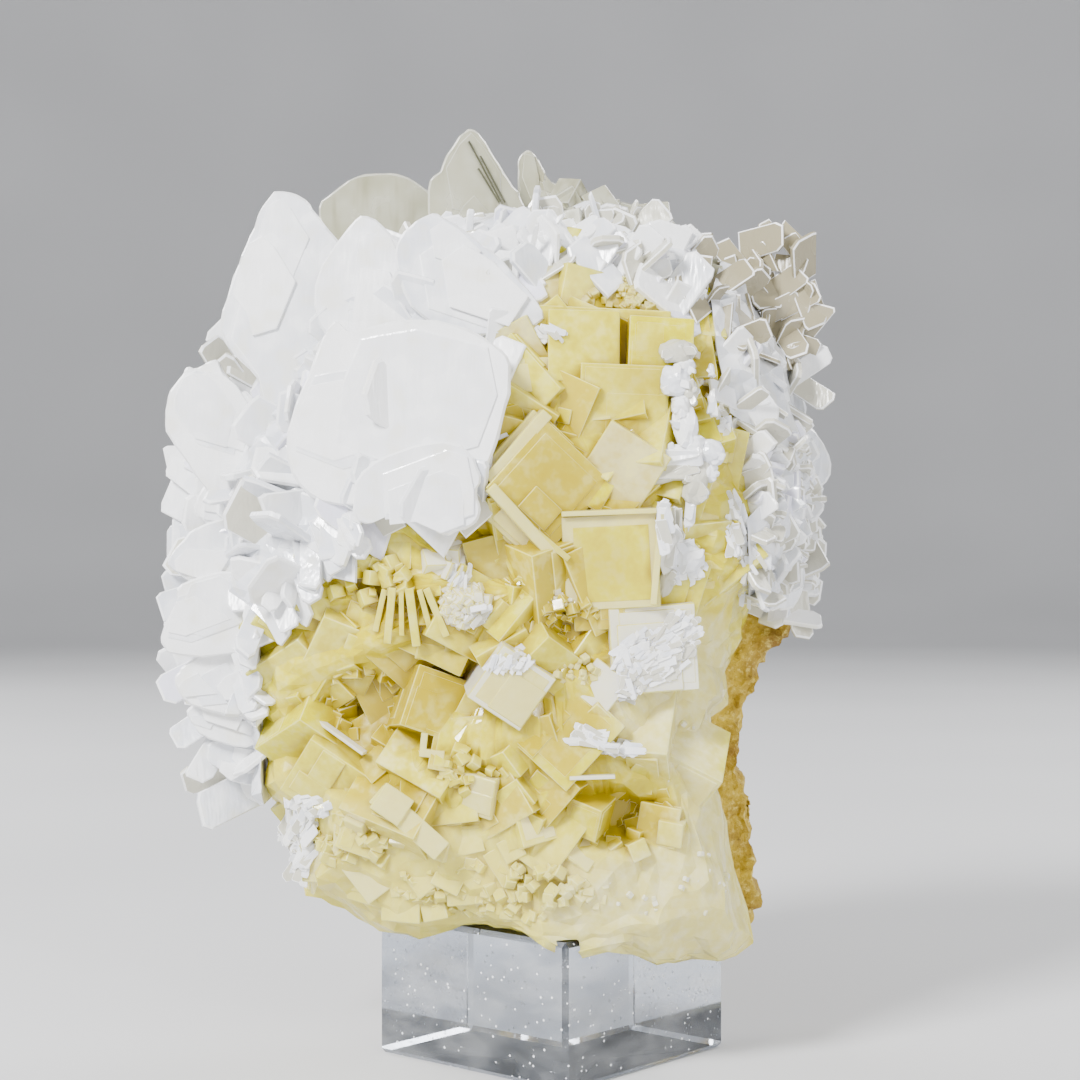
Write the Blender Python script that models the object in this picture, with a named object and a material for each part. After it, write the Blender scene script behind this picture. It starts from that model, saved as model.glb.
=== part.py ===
"""Yellow fluorite with white barite, a hand specimen resting on a clear square display block.

Lengths in the tables and constants are millimetres. The origin is the centre of the block's
underside, +Z is up and the specimen's best side faces -Y.
"""

import math
import random

import bmesh
import bpy
from mathutils import Matrix, Vector, noise

MM = 0.001
GAP = 0.3

# Blender's noise vectors start from the clock unless they are seeded
noise.seed_set(5)

# Display block
BLOCK_SIDE = 31.75
BLOCK_HEIGHT = 17.8
BLOCK_TURN = 48.8
BLOCK_CHAMFER = 0.6

# Specimen body: every outline is seen along Y and is star-shaped about this centre
CENTRE_X = -4.0
CENTRE_Z = 60.0
SPLIT_Y = 2.0
LAP = 1.0
FRONT_REACH = 24.0
BACK_REACH = 26.0
RINGS = (1.0, 0.97, 0.93, 0.88, 0.82, 0.75, 0.67, 0.58, 0.48, 0.37, 0.25, 0.12)
SPOKES = 110
CORE_FACES = 360
CROWN_FLATNESS = 3
CROWN_ROUNDNESS = 0.55
FRONT_ROUGHNESS = 1.6
BACK_ROUGHNESS = 3.2
BROAD_WAVE = 0.14
FINE_WAVE = 0.4
FINE_SHARE = 1 / 3
FAN_CRUST = 2.0
ROSETTE_CRUST = 1.4
CRUST_NEAR = -60
CRUST_FAR = 18
BEYOND = 90
HALF_SPACE = ((-BEYOND, -BEYOND), (BEYOND, -BEYOND), (BEYOND, 2 * BEYOND), (-BEYOND, 2 * BEYOND))

# Rim of the fluorite from the lower left clockwise: x, z and how far it stands in front of y = 0
FRONT_RIM = (
    (-36.5, 34.5, 2), (-37, 40.5, 3), (-39.5, 47, 3), (-39.5, 53, 3), (-40.5, 59.5, 3), (-40.5, 66, 3),
    (-40, 73.5, 3), (-38, 80, 3), (-35, 86.5, 3), (-32, 93.5, 2), (-27, 100, 1), (-21, 103.5, 0),
    (-14.5, 105, 0), (-4, 107, -1), (6.5, 107.5, -1), (14, 105.5, -1), (20, 101.5, -1), (24.5, 97, 0),
    (28, 90.5, 0), (30.5, 84, -1), (31.5, 77.5, -1), (32, 71, -1), (31, 64.5, -1), (28.5, 59.5, 0),
    (25, 57, 2), (22.5, 52.5, 4), (21.5, 49, 5), (22.5, 45.5, 6), (20, 43.5, 8), (19.5, 37.5, 9),
    (22, 30.5, 8), (23, 24, 7), (25, 18, 5), (25, 14, 4), (23, 12.5, 6), (18, 13.5, 9),
    (14, 13.5, 13), (9.5, 15.5, 17), (5.5, 16.5, 20), (3, 16, 21), (0, 18, 22), (-4, 18.5, 18),
    (-9.5, 19, 15), (-14.5, 17, 11), (-21, 16, 6), (-24.5, 17.5, 5), (-29, 20, 4), (-32, 20.5, 3),
    (-32.5, 26.5, 2), (-34, 30.5, 2),
)

# Rim of the rock behind it, in the same order
BACK_RIM = (
    (-35.5, 34.5, 4), (-37, 42, 4), (-38.5, 53, 4), (-39, 66, 4), (-37, 79, 4), (-32, 91, 4),
    (-24.5, 99, 4), (-14.5, 103, 4), (-4, 105.5, 4), (6.5, 107, 4), (15, 105, 4), (22, 100, 4),
    (28, 92, 4), (31.5, 82, 4), (33, 71.5, 4), (33, 64.5, 4), (32, 59, 4), (30.5, 54, 4),
    (28, 50.5, 4), (26.5, 46.5, 4), (24.5, 43.5, 4), (24, 38, 4), (25.5, 32, 4), (26.5, 25, 4),
    (27, 18.5, 4), (25.5, 14, 4), (19, 12.5, 4), (6.5, 13, 4), (-7, 13.5, 4), (-20, 15.5, 4),
    (-30, 20, 4), (-32, 26, 4), (-34, 30, 4),
)

# Hollows in the fluorite: x, z, half width, half height, depth
HOLLOWS = (
    (-22, 45.5, 6, 4.5, 8), (-14, 50, 5, 3, 6), (8, 33.5, 5.5, 3.5, 7), (24, 75, 3.5, 6, 3),
    (-9, 63.5, 4, 3, 3), (-26, 38, 5, 2.5, 4), (2, 55, 4, 2, 2.5),
)

# Fluorite cubes: x, y and z of the middle of the front face, edge, yaw, pitch and roll in degrees
CUBES = {
    "upper": (5.5, -21, 88.5, 16, 8, -6, 3),
    "upper_left_step": (3.5, -22.6, 89.5, 7.5, 10, -4, 2),
    "upper_right_step": (11, -22.8, 89, 7, 4, -5, 6),
    "upper_low_step": (10.5, -23, 81, 10, 2, 6, 4),
    "upper_corner": (-5, -20.5, 89, 8, -8, 10, -30),
    "upper_crest": (10.5, -17.5, 97.5, 7, 10, -30, 20),
    "diamond": (-0.5, -25.2, 72.5, 10.8, 14, 3, 42),
    "diamond_frame": (-1.5, -24.2, 72.5, 13, 14, 3, 42),
    "pale_face": (8, -23.6, 74, 8, -6, 8, 33),
    "bright": (6.5, -24.8, 63.5, 11, -5, 5, -3),
    "beside_bright": (13.5, -22.5, 60, 9, 12, 0, 18),
    "ribbed": (-17.5, -21.5, 57, 11, -10, 14, 8),
    "ribbed_step": (-14, -23, 54.5, 6, 0, 18, 12),
    "left_big": (-31, -17, 53.5, 12.5, -34, 4, 38),
    "left_high": (-27, -19, 61.5, 9, -22, -6, 15),
    "left_tip": (-35.5, -11, 46, 8, -50, 6, 20),
    "druse_block": (-10.5, -24, 58.5, 6, 12, -8, 24),
    "small_plate": (-5.5, -26.5, 48.5, 8.4, 10, 14, 34),
    "white_plate": (12, -24, 53, 10.5, 6, 4, -4),
    "low_diamond": (-0.5, -24, 43.5, 9.5, -4, -8, 44),
    "middle": (-9.5, -22.5, 42.5, 9, 8, -12, 12),
    "shadow_wedge": (-27.5, -17, 35, 9.5, -20, 26, 38),
    "pale_bar": (-18, -21, 33, 5, 6, -10, -42),
    "pale_bar_end": (-15, -21.5, 30, 4.6, 6, -10, -42),
    "pale_block": (-9.5, -23.5, 36, 5.5, -6, 6, 4),
    "low_left": (-21, -16, 25, 9, -24, 14, 12),
    "low_middle": (-8.5, -20.5, 26, 10, -8, 12, -6),
    "small_square": (-2, -24, 32, 4.4, 4, 0, -4),
    "small_square_right": (3.4, -23.6, 32.5, 4, -6, 4, 4),
    "pit_wall": (13, -20.5, 32, 6, -14, 4, 10),
    "left_low": (-29, -12, 28, 8, -40, 6, 10),
    "right_upper": (18, -15, 91, 8, 26, -12, 8),
    "right_middle": (20, -14.5, 66, 8.5, 24, 6, 12),
}
MATRIX_BLOCKS = 18
MATRIX_BLOCK_EDGES = (7, 12)
MATRIX_BLOCK_SUNK = 0.82
SMALL_CUBES = 18
SMALL_CUBE_EDGES = (2.6, 5.0)
SMALL_CUBE_STANDS = (0.2, 0.45)
SMALL_CUBE_ROLLS = (5, 35, 45)
SMALL_CUBE_FIELD = (
    (-34, 38), (-34, 52), (-24, 64), (-10, 66), (-6, 80), (-3, 94), (10, 99), (18, 92), (21, 80),
    (21, 62), (19, 48), (15, 30), (0, 22), (-20, 20), (-29, 24),
)

# Barite blades facing the viewer: y, slope of y along x and along z, thickness, outline in x and z
FAN_BLADES = {
    "tall_left": (-14, -0.1, 0.05, 2.4, (
        (-36, 107), (-34.5, 109), (-32.5, 109), (-30.5, 108), (-29, 106), (-25.5, 101.5), (-22.5, 95.5),
        (-23, 87), (-28, 82), (-33, 78), (-35, 80), (-36, 83.5), (-36.5, 86), (-39.5, 89), (-41, 92),
        (-40.5, 95.5), (-39, 100), (-37.5, 103.5))),
    "crest_clear": (2, 0.05, 0, 2, (
        (-30.5, 109.5), (-28.5, 111.5), (-25.5, 113.5), (-22, 114), (-19, 113.5), (-16, 111.5),
        (-14, 109.5), (-13, 103), (-20, 97), (-27, 97), (-29.5, 105))),
    "apex": (-2, 0.1, 0.05, 1.8, (
        (-16, 111), (-14.5, 113.5), (-13, 116.5), (-11.5, 118.5), (-10.5, 119), (-9, 118), (-7.5, 115.5),
        (-5.5, 112.5), (-4, 110), (-3, 106.5), (-4, 100), (-9.5, 98), (-14.5, 102))),
    "finger": (4, 0, 0.1, 1.8, (
        (-4.5, 112), (-4.5, 115.5), (-4, 117), (-3, 117.5), (-2, 116.5), (-1, 114.5), (-1, 112),
        (0, 109), (-1, 103), (-4, 103))),
    "crest_behind": (15, 0, 0.1, 2, (
        (-1.5, 115.5), (0, 115), (2, 114.5), (4.5, 114.5), (4.5, 112), (4, 98), (-1, 98))),
    "big_middle": (-25.6, -0.14, 0.04, 2.2, (
        (-27, 90.5), (-26, 92), (-24.5, 91), (-22.5, 91), (-18, 92), (-12, 91.5), (-7, 89), (-5, 86.5),
        (-5.5, 81.5), (-7, 76.5), (-8.5, 73.5), (-13.5, 70.5), (-20.5, 70), (-27.5, 70.5), (-31, 74),
        (-31.5, 79), (-30, 83.5), (-28, 88.5))),
    "low_middle": (-27.6, -0.08, -0.05, 1.8, (
        (-10, 76.5), (-8.5, 73.5), (-9, 71.5), (-8.5, 69.5), (-9, 68), (-11, 67), (-13, 66.5), (-15, 68),
        (-17.5, 68.5), (-20, 68.5), (-22, 68), (-23.5, 69.5), (-22.5, 74), (-18, 76.5), (-13, 77.5))),
    "left_arm": (-12, 0.05, 0.05, 2.4, (
        (-48, 82), (-47.5, 84.5), (-46, 86.5), (-45.5, 87.5), (-44, 87.5), (-42, 88.5), (-41, 87),
        (-39, 84.5), (-38, 84.5), (-36.5, 82.5), (-34.5, 79), (-33, 75), (-36.5, 71), (-41, 71),
        (-43.5, 73), (-46, 76.5), (-48, 79.5))),
    "top_front": (-20.5, 0.04, 0.18, 2.2, (
        (-18.5, 102.5), (-16.5, 104.5), (-14.5, 105.5), (-12.5, 104.5), (-9.5, 102.5), (-6, 99.5),
        (-3, 96), (-1, 92.5), (-6.5, 90.5), (-12.5, 91), (-17, 94), (-19, 99.5))),
    "upper_step": (-18.5, -0.1, 0.12, 2.2, (
        (-25, 104), (-22.5, 105.5), (-19.5, 103), (-16, 100), (-15, 93), (-20, 88), (-27, 90), (-29, 97))),
    "edge_1": (-9, 0.1, 0, 2.4, (
        (-43.5, 73), (-45, 70), (-44, 68.5), (-40, 66), (-34.5, 67), (-34, 73), (-39, 75))),
    "edge_2": (-11, 0.1, 0, 2.4, (
        (-44.5, 67.5), (-46, 66), (-47.5, 64.5), (-48, 63), (-47, 62), (-44.5, 60.5), (-38, 59),
        (-33, 61), (-33, 67), (-39, 69))),
    "edge_3": (-13, 0.08, 0, 2.4, (
        (-46, 60.5), (-46.5, 58.5), (-47.5, 56.5), (-48.5, 54), (-48, 52.5), (-47, 52), (-43.5, 51.5),
        (-36, 52.5), (-31.5, 56), (-33, 61), (-41, 62))),
    "edge_4": (-11.5, 0.08, 0, 2.2, (
        (-45, 51), (-46.5, 49.5), (-47, 48.5), (-46.5, 47), (-45, 45.5), (-39, 44), (-35, 46.5),
        (-35, 51.5), (-41, 53))),
    "edge_5": (-9.5, 0.06, 0, 2.2, (
        (-45.5, 45), (-45.5, 43.5), (-44.5, 42), (-43, 41), (-38.5, 40), (-35.5, 42), (-35.5, 46),
        (-41.5, 47))),
    "edge_6": (-7.5, 0.06, 0, 2, (
        (-43, 40.5), (-43.5, 39.5), (-43.5, 38), (-42, 37), (-40.5, 35.5), (-35.5, 35), (-34, 39),
        (-38.5, 42))),
}
EDGE_LAYERS = 3
EDGE_LAYER_STEP = 4.2
EDGE_LAYER_SHRINK = 0.07

ROSETTE_BLADES = {
    "clear_behind": (17, 0.05, 0.1, 2.2, (
        (22.5, 103.5), (24, 103), (26.5, 102.5), (29, 102.5), (31, 101.5), (33, 99), (34.5, 96.5),
        (34.5, 95), (32, 94), (27, 90), (20, 86), (16, 90), (20, 100))),
    "white_low": (-7, 0.3, 0.1, 2.2, (
        (27.5, 66), (29.5, 67), (31.5, 64), (32, 60.5), (30.5, 57.5), (28, 57.5), (26.5, 61))),
    "white_tip": (-1, 0.2, 0, 2.2, (
        (29, 80), (33, 81), (36, 77), (35.5, 73.5), (31, 71), (27.5, 74))),
}

# Where the barite crusts lie, seen along Y
FAN_FIELD = (
    (-36, 33), (-36.5, 44), (-38.5, 50), (-36.5, 54), (-34, 57.5), (-30, 62), (-26.5, 65.5), (-22.5, 69),
    (-14.5, 69), (-9, 70.5), (-9, 78), (-6.5, 86.5), (-7, 91), (-7, 95), (-1.5, 100), (3.5, 101.5),
    (12, 101), (15, 98), (18, 100), (21, 106), (14.5, 114), (-4, 114), (-23, 112), (-36, 100),
    (-46, 82), (-50, 63.5), (-47, 45), (-43, 31),
)
FAN_BORDER = ((-37, 40), (-38, 48), (-35, 56), (-30, 61.5), (-26, 66), (-22, 69))
RIGHT_FIELD = (
    (20, 89), (19.5, 96), (22.5, 104), (30, 106), (42, 95), (42, 71.5), (37, 56), (28, 56),
    (24, 59), (23.5, 68.5), (26, 71), (25, 79.5), (21.5, 81.5),
)

# Small blades: half the outline of one as shares of its length and width, and where they stand
TABLET = ((-0.3, -0.35), (0.6, -0.5), (0.95, -0.25), (1.0, 0.15), (0.7, 0.48), (-0.3, 0.4))
TABLET_WIDTH = 0.8
TABLET_THICKNESS = (1.1, 1.7)
TABLET_SUNK = 1.2
BORDER_TABLETS_A_RUN = 2
BORDER_LENGTHS = (4.5, 6.5)
BAND_TABLETS = 10
BAND_LENGTHS = (4, 6)
BAND_X = (-4, 13)
BAND_TOP = (4, 106.5)
BAND_SLOPE = 0.3
BAND_HEIGHT = 6

# Blades standing on the sides: count, angles round Y in degrees, range of y, range of length
FAN_SIDE = (28, (58, 208), (-13, 14), (6, 9))
ROSETTE_SIDE = (20, (3, 44), (-15, 13), (4.5, 7))
SIDE_LEAN = 20

# White branch on the fluorite: x, y, z and radius of each lump
SPRIG_LUMPS = (
    (15, -23.2, 88.8, 2.3), (15.2, -23.6, 86.2, 2.2), (15.6, -23.6, 83.2, 2.6),
    (16, -23.2, 80.4, 2.2), (16.8, -22.8, 77.8, 2.3), (17.2, -22.6, 75.4, 2.6),
)
SPRIG_BLADE_THICKNESS = 1.8

# Its blades: x, y, z, angle in the front plane in degrees, length and width
SPRIG_BLADES = (
    (17, -22.5, 76, -170, 7.5, 2.6), (17, -22.5, 76, 170, 7, 2.4), (17, -22, 76, -118, 7, 3.2),
    (17.5, -21.5, 75, -90, 8.5, 3.0), (17.5, -22, 76.5, -28, 5, 2.6), (17, -22.5, 77, 60, 5, 2.4),
)

FLUORITE_COLOUR = (0.75, 0.63, 0.22, 1)
MATRIX_COLOUR = (0.42, 0.26, 0.06, 1)
BARITE_COLOUR = (0.86, 0.86, 0.87, 1)
BLOCK_COLOUR = (0.85, 0.9, 0.95, 1)


def clear_scene():
    for thing in list(bpy.data.objects):
        bpy.data.objects.remove(thing, do_unlink=True)


def make_material(name, colour, roughness, transmission=0.0):
    material = bpy.data.materials.new(name)
    material.use_nodes = True
    shader = material.node_tree.nodes["Principled BSDF"]
    shader.inputs["Base Color"].default_value = colour
    shader.inputs["Roughness"].default_value = roughness
    shader.inputs["Metallic"].default_value = 0.0
    shader.inputs["Transmission Weight"].default_value = transmission
    return material


def solid(name, points, faces):
    """One object from points in millimetres; its faces are turned outwards."""
    mesh = bpy.data.meshes.new(name)
    mesh.from_pydata([Vector(point) * MM for point in points], [], faces)
    shape = bmesh.new()
    shape.from_mesh(mesh)
    bmesh.ops.triangulate(shape, faces=shape.faces)
    bmesh.ops.recalc_face_normals(shape, faces=shape.faces)
    shape.to_mesh(mesh)
    shape.free()
    item = bpy.data.objects.new(name, mesh)
    bpy.context.scene.collection.objects.link(item)
    return item


def combine(target, tool, operation):
    """Apply one Boolean to target and remove the tool."""
    change = target.modifiers.new("combine", "BOOLEAN")
    change.operation = operation
    change.solver = "EXACT"
    change.object = tool
    graph = bpy.context.evaluated_depsgraph_get()
    result = bpy.data.meshes.new_from_object(target.evaluated_get(graph))
    target.modifiers.clear()
    target.data = result
    bpy.data.objects.remove(tool, do_unlink=True)


def combine_all(target, tools, operation):
    for tool in tools:
        combine(target, tool, operation)


def keep_main_body(item):
    """Drop crumbs and inner shells that the cuts leave loose."""
    shape = bmesh.new()
    shape.from_mesh(item.data)
    shape.faces.ensure_lookup_table()
    unseen = set(shape.faces)
    groups = []
    while unseen:
        stack = [unseen.pop()]
        group = []
        while stack:
            face = stack.pop()
            group.append(face)
            for edge in face.edges:
                for other in edge.link_faces:
                    if other in unseen:
                        unseen.remove(other)
                        stack.append(other)
        groups.append(group)
    groups.sort(key=len)
    for group in groups[:-1]:
        bmesh.ops.delete(shape, geom=group, context="FACES")
    bmesh.ops.triangulate(shape, faces=shape.faces)
    shape.to_mesh(item.data)
    shape.free()


def rim_at(rim, angle):
    """Distance from the centre to the rim and the rim's own depth, in the direction of angle."""
    ray = (math.cos(angle), math.sin(angle))
    for (xa, za, da), (xb, zb, db) in zip(rim, rim[1:] + rim[:1]):
        ax, az = xa - CENTRE_X, za - CENTRE_Z
        ex, ez = xb - xa, zb - za
        cross = ray[0] * ez - ray[1] * ex
        if abs(cross) < 1e-9:
            continue
        share = (ray[1] * ax - ray[0] * az) / cross
        distance = (ax * ez - az * ex) / cross
        if -1e-9 <= share <= 1 + 1e-9 and distance > 0:
            return distance, da + share * (db - da)
    return 1.0, 0.0


def bulge(fraction, rim_depth, reach):
    """Depth at a fraction of the way from the centre to the rim."""
    crown = (1 - min(fraction, 1) ** CROWN_FLATNESS) ** CROWN_ROUNDNESS
    return rim_depth + (reach - rim_depth) * crown


def hollow_depth(x, z):
    total = 0.0
    for hollow_x, hollow_z, half_x, half_z, depth in HOLLOWS:
        total += depth * math.exp(-((x - hollow_x) / half_x) ** 2 - ((z - hollow_z) / half_z) ** 2)
    return total


def front_depth(x, z):
    """How far the fluorite stands in front of y = 0 at x, z."""
    distance, rim_depth = rim_at(FRONT_RIM, math.atan2(z - CENTRE_Z, x - CENTRE_X))
    fraction = math.hypot(x - CENTRE_X, z - CENTRE_Z) / distance
    return bulge(fraction, rim_depth, FRONT_REACH) - hollow_depth(x, z)


def thin_out(item, faces):
    """Collapse a fine mesh to about so many flat facets."""
    change = item.modifiers.new("thin", "DECIMATE")
    change.ratio = faces / len(item.data.polygons)
    graph = bpy.context.evaluated_depsgraph_get()
    result = bpy.data.meshes.new_from_object(item.evaluated_get(graph))
    item.modifiers.clear()
    item.data = result


def grow_outwards(item, grow):
    """Move every face out by grow, in millimetres."""
    shape = bmesh.new()
    shape.from_mesh(item.data)
    shape.normal_update()
    moves = [vert.normal * min(vert.calc_shell_factor(), 2) * grow * MM for vert in shape.verts]
    for vert, move in zip(shape.verts, moves):
        vert.co += move
    shape.to_mesh(item.data)
    shape.free()


def radial_body(name, rim, side, reach, plane, rough):
    """A closed lump from the rim to a crown at -Y (side -1) or +Y (side 1), with a flat back."""
    points = []
    for fraction in RINGS:
        for index in range(SPOKES):
            angle = 2 * math.pi * index / SPOKES
            distance, rim_depth = rim_at(rim, angle)
            x = CENTRE_X + math.cos(angle) * distance * fraction
            z = CENTRE_Z + math.sin(angle) * distance * fraction
            depth = bulge(fraction, rim_depth, reach)
            if side < 0:
                depth -= hollow_depth(x, z)
            place = Vector((x, side * depth, z))
            if fraction < 1:
                broad = noise.noise_vector(place * BROAD_WAVE)
                fine = noise.noise_vector(place * FINE_WAVE) * FINE_SHARE
                place += (broad + fine) * rough
            points.append(place)
    crown = len(points)
    points.append((CENTRE_X, side * reach, CENTRE_Z))
    back = len(points)
    points += [(points[index][0], plane, points[index][2]) for index in range(SPOKES)]
    hub = len(points)
    points.append((CENTRE_X, plane, CENTRE_Z))
    rows = []
    for ring in range(len(RINGS) - 1):
        for index in range(SPOKES):
            here = ring * SPOKES + index
            beside = ring * SPOKES + (index + 1) % SPOKES
            rows.append((here, beside, beside + SPOKES, here + SPOKES))
    last = (len(RINGS) - 1) * SPOKES
    for index in range(SPOKES):
        after = (index + 1) % SPOKES
        rows.append((last + index, last + after, crown))
        rows.append((index, after, back + after, back + index))
        rows.append((back + index, back + after, hub))
    item = solid(name, points, rows)
    thin_out(item, CORE_FACES)
    return item


def fluorite_core(grow):
    item = radial_body("fluorite_core", FRONT_RIM, -1, FRONT_REACH, SPLIT_Y + LAP, FRONT_ROUGHNESS)
    grow_outwards(item, grow)
    return item


def matrix_core(grow):
    item = radial_body("matrix_core", BACK_RIM, 1, BACK_REACH, SPLIT_Y - LAP, BACK_ROUGHNESS)
    grow_outwards(item, grow)
    return item


def cube(place, edge, angles, grow=0.0):
    """A cube given by the middle of its front face; grow moves every face out."""
    turn = Matrix.Rotation(math.radians(angles[0]), 3, "Z")
    turn = turn @ Matrix.Rotation(math.radians(angles[1]), 3, "X")
    turn = turn @ Matrix.Rotation(math.radians(angles[2]), 3, "Y")
    middle = Vector(place) + turn @ Vector((0, edge / 2, 0))
    half = edge / 2 + grow
    corners = [(sx, sy, sz) for sx in (-1, 1) for sy in (-1, 1) for sz in (-1, 1)]
    points = [middle + turn @ (Vector(corner) * half) for corner in corners]
    faces = [(0, 1, 3, 2), (4, 6, 7, 5), (0, 4, 5, 1), (2, 3, 7, 6), (0, 2, 6, 4), (1, 5, 7, 3)]
    return solid("cube", points, faces)


def inside(x, z, field):
    result = False
    for (xa, za), (xb, zb) in zip(field, field[1:] + field[:1]):
        if (za > z) != (zb > z) and x < xa + (z - za) * (xb - xa) / (zb - za):
            result = not result
    return result


def small_cube_rows():
    """Seeded small cubes on the open yellow faces, half sunk in them."""
    rng = random.Random(5)
    rows = []
    while len(rows) < SMALL_CUBES:
        x = rng.uniform(-34, 21)
        z = rng.uniform(20, 99)
        if not inside(x, z, SMALL_CUBE_FIELD):
            continue
        edge = rng.uniform(*SMALL_CUBE_EDGES)
        y = -front_depth(x, z) - edge * rng.uniform(*SMALL_CUBE_STANDS)
        roll = rng.choice(SMALL_CUBE_ROLLS) + rng.uniform(-8, 8)
        angles = (rng.uniform(-25, 25), rng.uniform(-20, 20), roll)
        rows.append(((x, y, z), edge, angles))
    return rows


def all_cube_rows():
    rows = [(row[0:3], row[3], row[4:7]) for row in CUBES.values()]
    return rows + small_cube_rows()


def fluorite_cubes(grow):
    return [cube(place, edge, angles, grow) for place, edge, angles in all_cube_rows()]


def prism(field, near, far):
    """An upright-faced cutter over a field in x and z, from y = near to y = far."""
    count = len(field)
    points = [(x, near, z) for x, z in field] + [(x, far, z) for x, z in field]
    faces = [tuple(range(count)), tuple(range(count, 2 * count))]
    for index in range(count):
        after = (index + 1) % count
        faces.append((index, after, count + after, count + index))
    return solid("prism", points, faces)


def blade(row, shift=0.0, shrink=1.0):
    """A plate with the row's outline, sloping in y, moved back by shift and drawn in by shrink."""
    depth, slope_x, slope_z, thickness, outline = row
    mid_x = sum(x for x, _ in outline) / len(outline)
    mid_z = sum(z for _, z in outline) / len(outline)
    front = []
    for x, z in outline:
        dx, dz = (x - mid_x) * shrink, (z - mid_z) * shrink
        front.append((mid_x + dx, depth + shift + slope_x * dx + slope_z * dz, mid_z + dz))
    count = len(front)
    points = front + [(x, y + thickness, z) for x, y, z in front]
    faces = [tuple(range(count)), tuple(range(count, 2 * count))]
    for index in range(count):
        after = (index + 1) % count
        faces.append((index, after, count + after, count + index))
    return solid("blade", points, faces)


def tablet(root, direction, normal, length, thickness, width=None):
    """A small blade standing at root along direction, with its flat side along normal."""
    along = Vector(direction).normalized()
    across = along.cross(Vector(normal)).normalized()
    flat = across.cross(along)
    width = width or length * TABLET_WIDTH
    points = []
    for side in (-0.5, 0.5):
        for u, v in TABLET:
            points.append(Vector(root) + along * u * length + across * v * width + flat * side * thickness)
    count = len(TABLET)
    faces = [tuple(range(count)), tuple(range(count, 2 * count))]
    for index in range(count):
        after = (index + 1) % count
        faces.append((index, after, count + after, count + index))
    return solid("tablet", points, faces)


def lump(place, radius):
    shape = bmesh.new()
    bmesh.ops.create_icosphere(shape, subdivisions=1, radius=radius * MM)
    bmesh.ops.translate(shape, verts=shape.verts, vec=Vector(place) * MM)
    mesh = bpy.data.meshes.new("lump")
    shape.to_mesh(mesh)
    shape.free()
    item = bpy.data.objects.new("lump", mesh)
    bpy.context.scene.collection.objects.link(item)
    return item


def display_block(grow):
    """The block, or with grow its place cut out of the specimen."""
    shape = bmesh.new()
    bmesh.ops.create_cube(shape, size=1)
    size = Vector((BLOCK_SIDE + 2 * grow, BLOCK_SIDE + 2 * grow, BLOCK_HEIGHT + grow))
    bmesh.ops.scale(shape, verts=shape.verts, vec=size * MM)
    if not grow:
        edges = list(shape.edges)
        bmesh.ops.bevel(shape, geom=edges, offset=BLOCK_CHAMFER * MM, segments=1, affect="EDGES")
    bmesh.ops.translate(shape, verts=shape.verts, vec=(0, 0, size.z * MM / 2))
    turn = Matrix.Rotation(math.radians(BLOCK_TURN), 3, "Z")
    bmesh.ops.rotate(shape, verts=shape.verts, matrix=turn)
    mesh = bpy.data.meshes.new("acrylic_block")
    shape.to_mesh(mesh)
    shape.free()
    item = bpy.data.objects.new("acrylic_block", mesh)
    bpy.context.scene.collection.objects.link(item)
    return item


def crust(field, thickness):
    """A skin of the specimen's surface over one field."""
    item = fluorite_core(thickness)
    combine(item, matrix_core(thickness), "UNION")
    combine(item, prism(field, CRUST_NEAR, CRUST_FAR), "INTERSECT")
    return item


def cut_by_neighbours(item):
    combine_all(item, [fluorite_core(GAP)] + fluorite_cubes(GAP), "DIFFERENCE")
    combine_all(item, [matrix_core(GAP)] + matrix_blocks(GAP), "DIFFERENCE")
    combine(item, display_block(GAP), "DIFFERENCE")
    keep_main_body(item)


def make_fluorite():
    item = fluorite_core(0.0)
    combine_all(item, fluorite_cubes(0.0), "UNION")
    combine(item, prism(HALF_SPACE, SPLIT_Y - GAP / 2, BEYOND), "DIFFERENCE")
    combine(item, display_block(GAP), "DIFFERENCE")
    keep_main_body(item)
    return item


def matrix_blocks(grow):
    """Seeded ledges and broken blocks on the back of the rock."""
    rng = random.Random(41)
    blocks = []
    for _ in range(MATRIX_BLOCKS):
        angle = rng.uniform(-math.pi, math.pi)
        fraction = rng.uniform(0.2, 0.85)
        distance, _ = rim_at(BACK_RIM, angle)
        x = CENTRE_X + math.cos(angle) * distance * fraction
        z = CENTRE_Z + math.sin(angle) * distance * fraction
        edge = rng.uniform(*MATRIX_BLOCK_EDGES)
        y = bulge(fraction, 0, BACK_REACH) - edge * MATRIX_BLOCK_SUNK
        angles = (rng.uniform(-30, 30), rng.uniform(-25, 25), rng.uniform(0, 90))
        blocks.append(cube((x, y, z), edge, angles, grow))
    return blocks


def make_matrix():
    item = matrix_core(0.0)
    combine_all(item, matrix_blocks(0.0), "UNION")
    combine(item, prism(HALF_SPACE, -BEYOND, SPLIT_Y + GAP / 2), "DIFFERENCE")
    combine(item, display_block(GAP), "DIFFERENCE")
    keep_main_body(item)
    return item


def side_point(angle, y):
    """The place on the specimen's side in the direction of angle, at y."""
    if y < SPLIT_Y:
        rim, reach, depth = FRONT_RIM, FRONT_REACH, -y
    else:
        rim, reach, depth = BACK_RIM, BACK_REACH, y
    distance, rim_depth = rim_at(rim, angle)
    fraction = 1.0
    if depth > rim_depth:
        share = (depth - rim_depth) / (reach - rim_depth)
        fraction = (1 - share ** (1 / CROWN_ROUNDNESS)) ** (1 / CROWN_FLATNESS)
    return Vector((
        CENTRE_X + math.cos(angle) * distance * fraction, y,
        CENTRE_Z + math.sin(angle) * distance * fraction))


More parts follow.
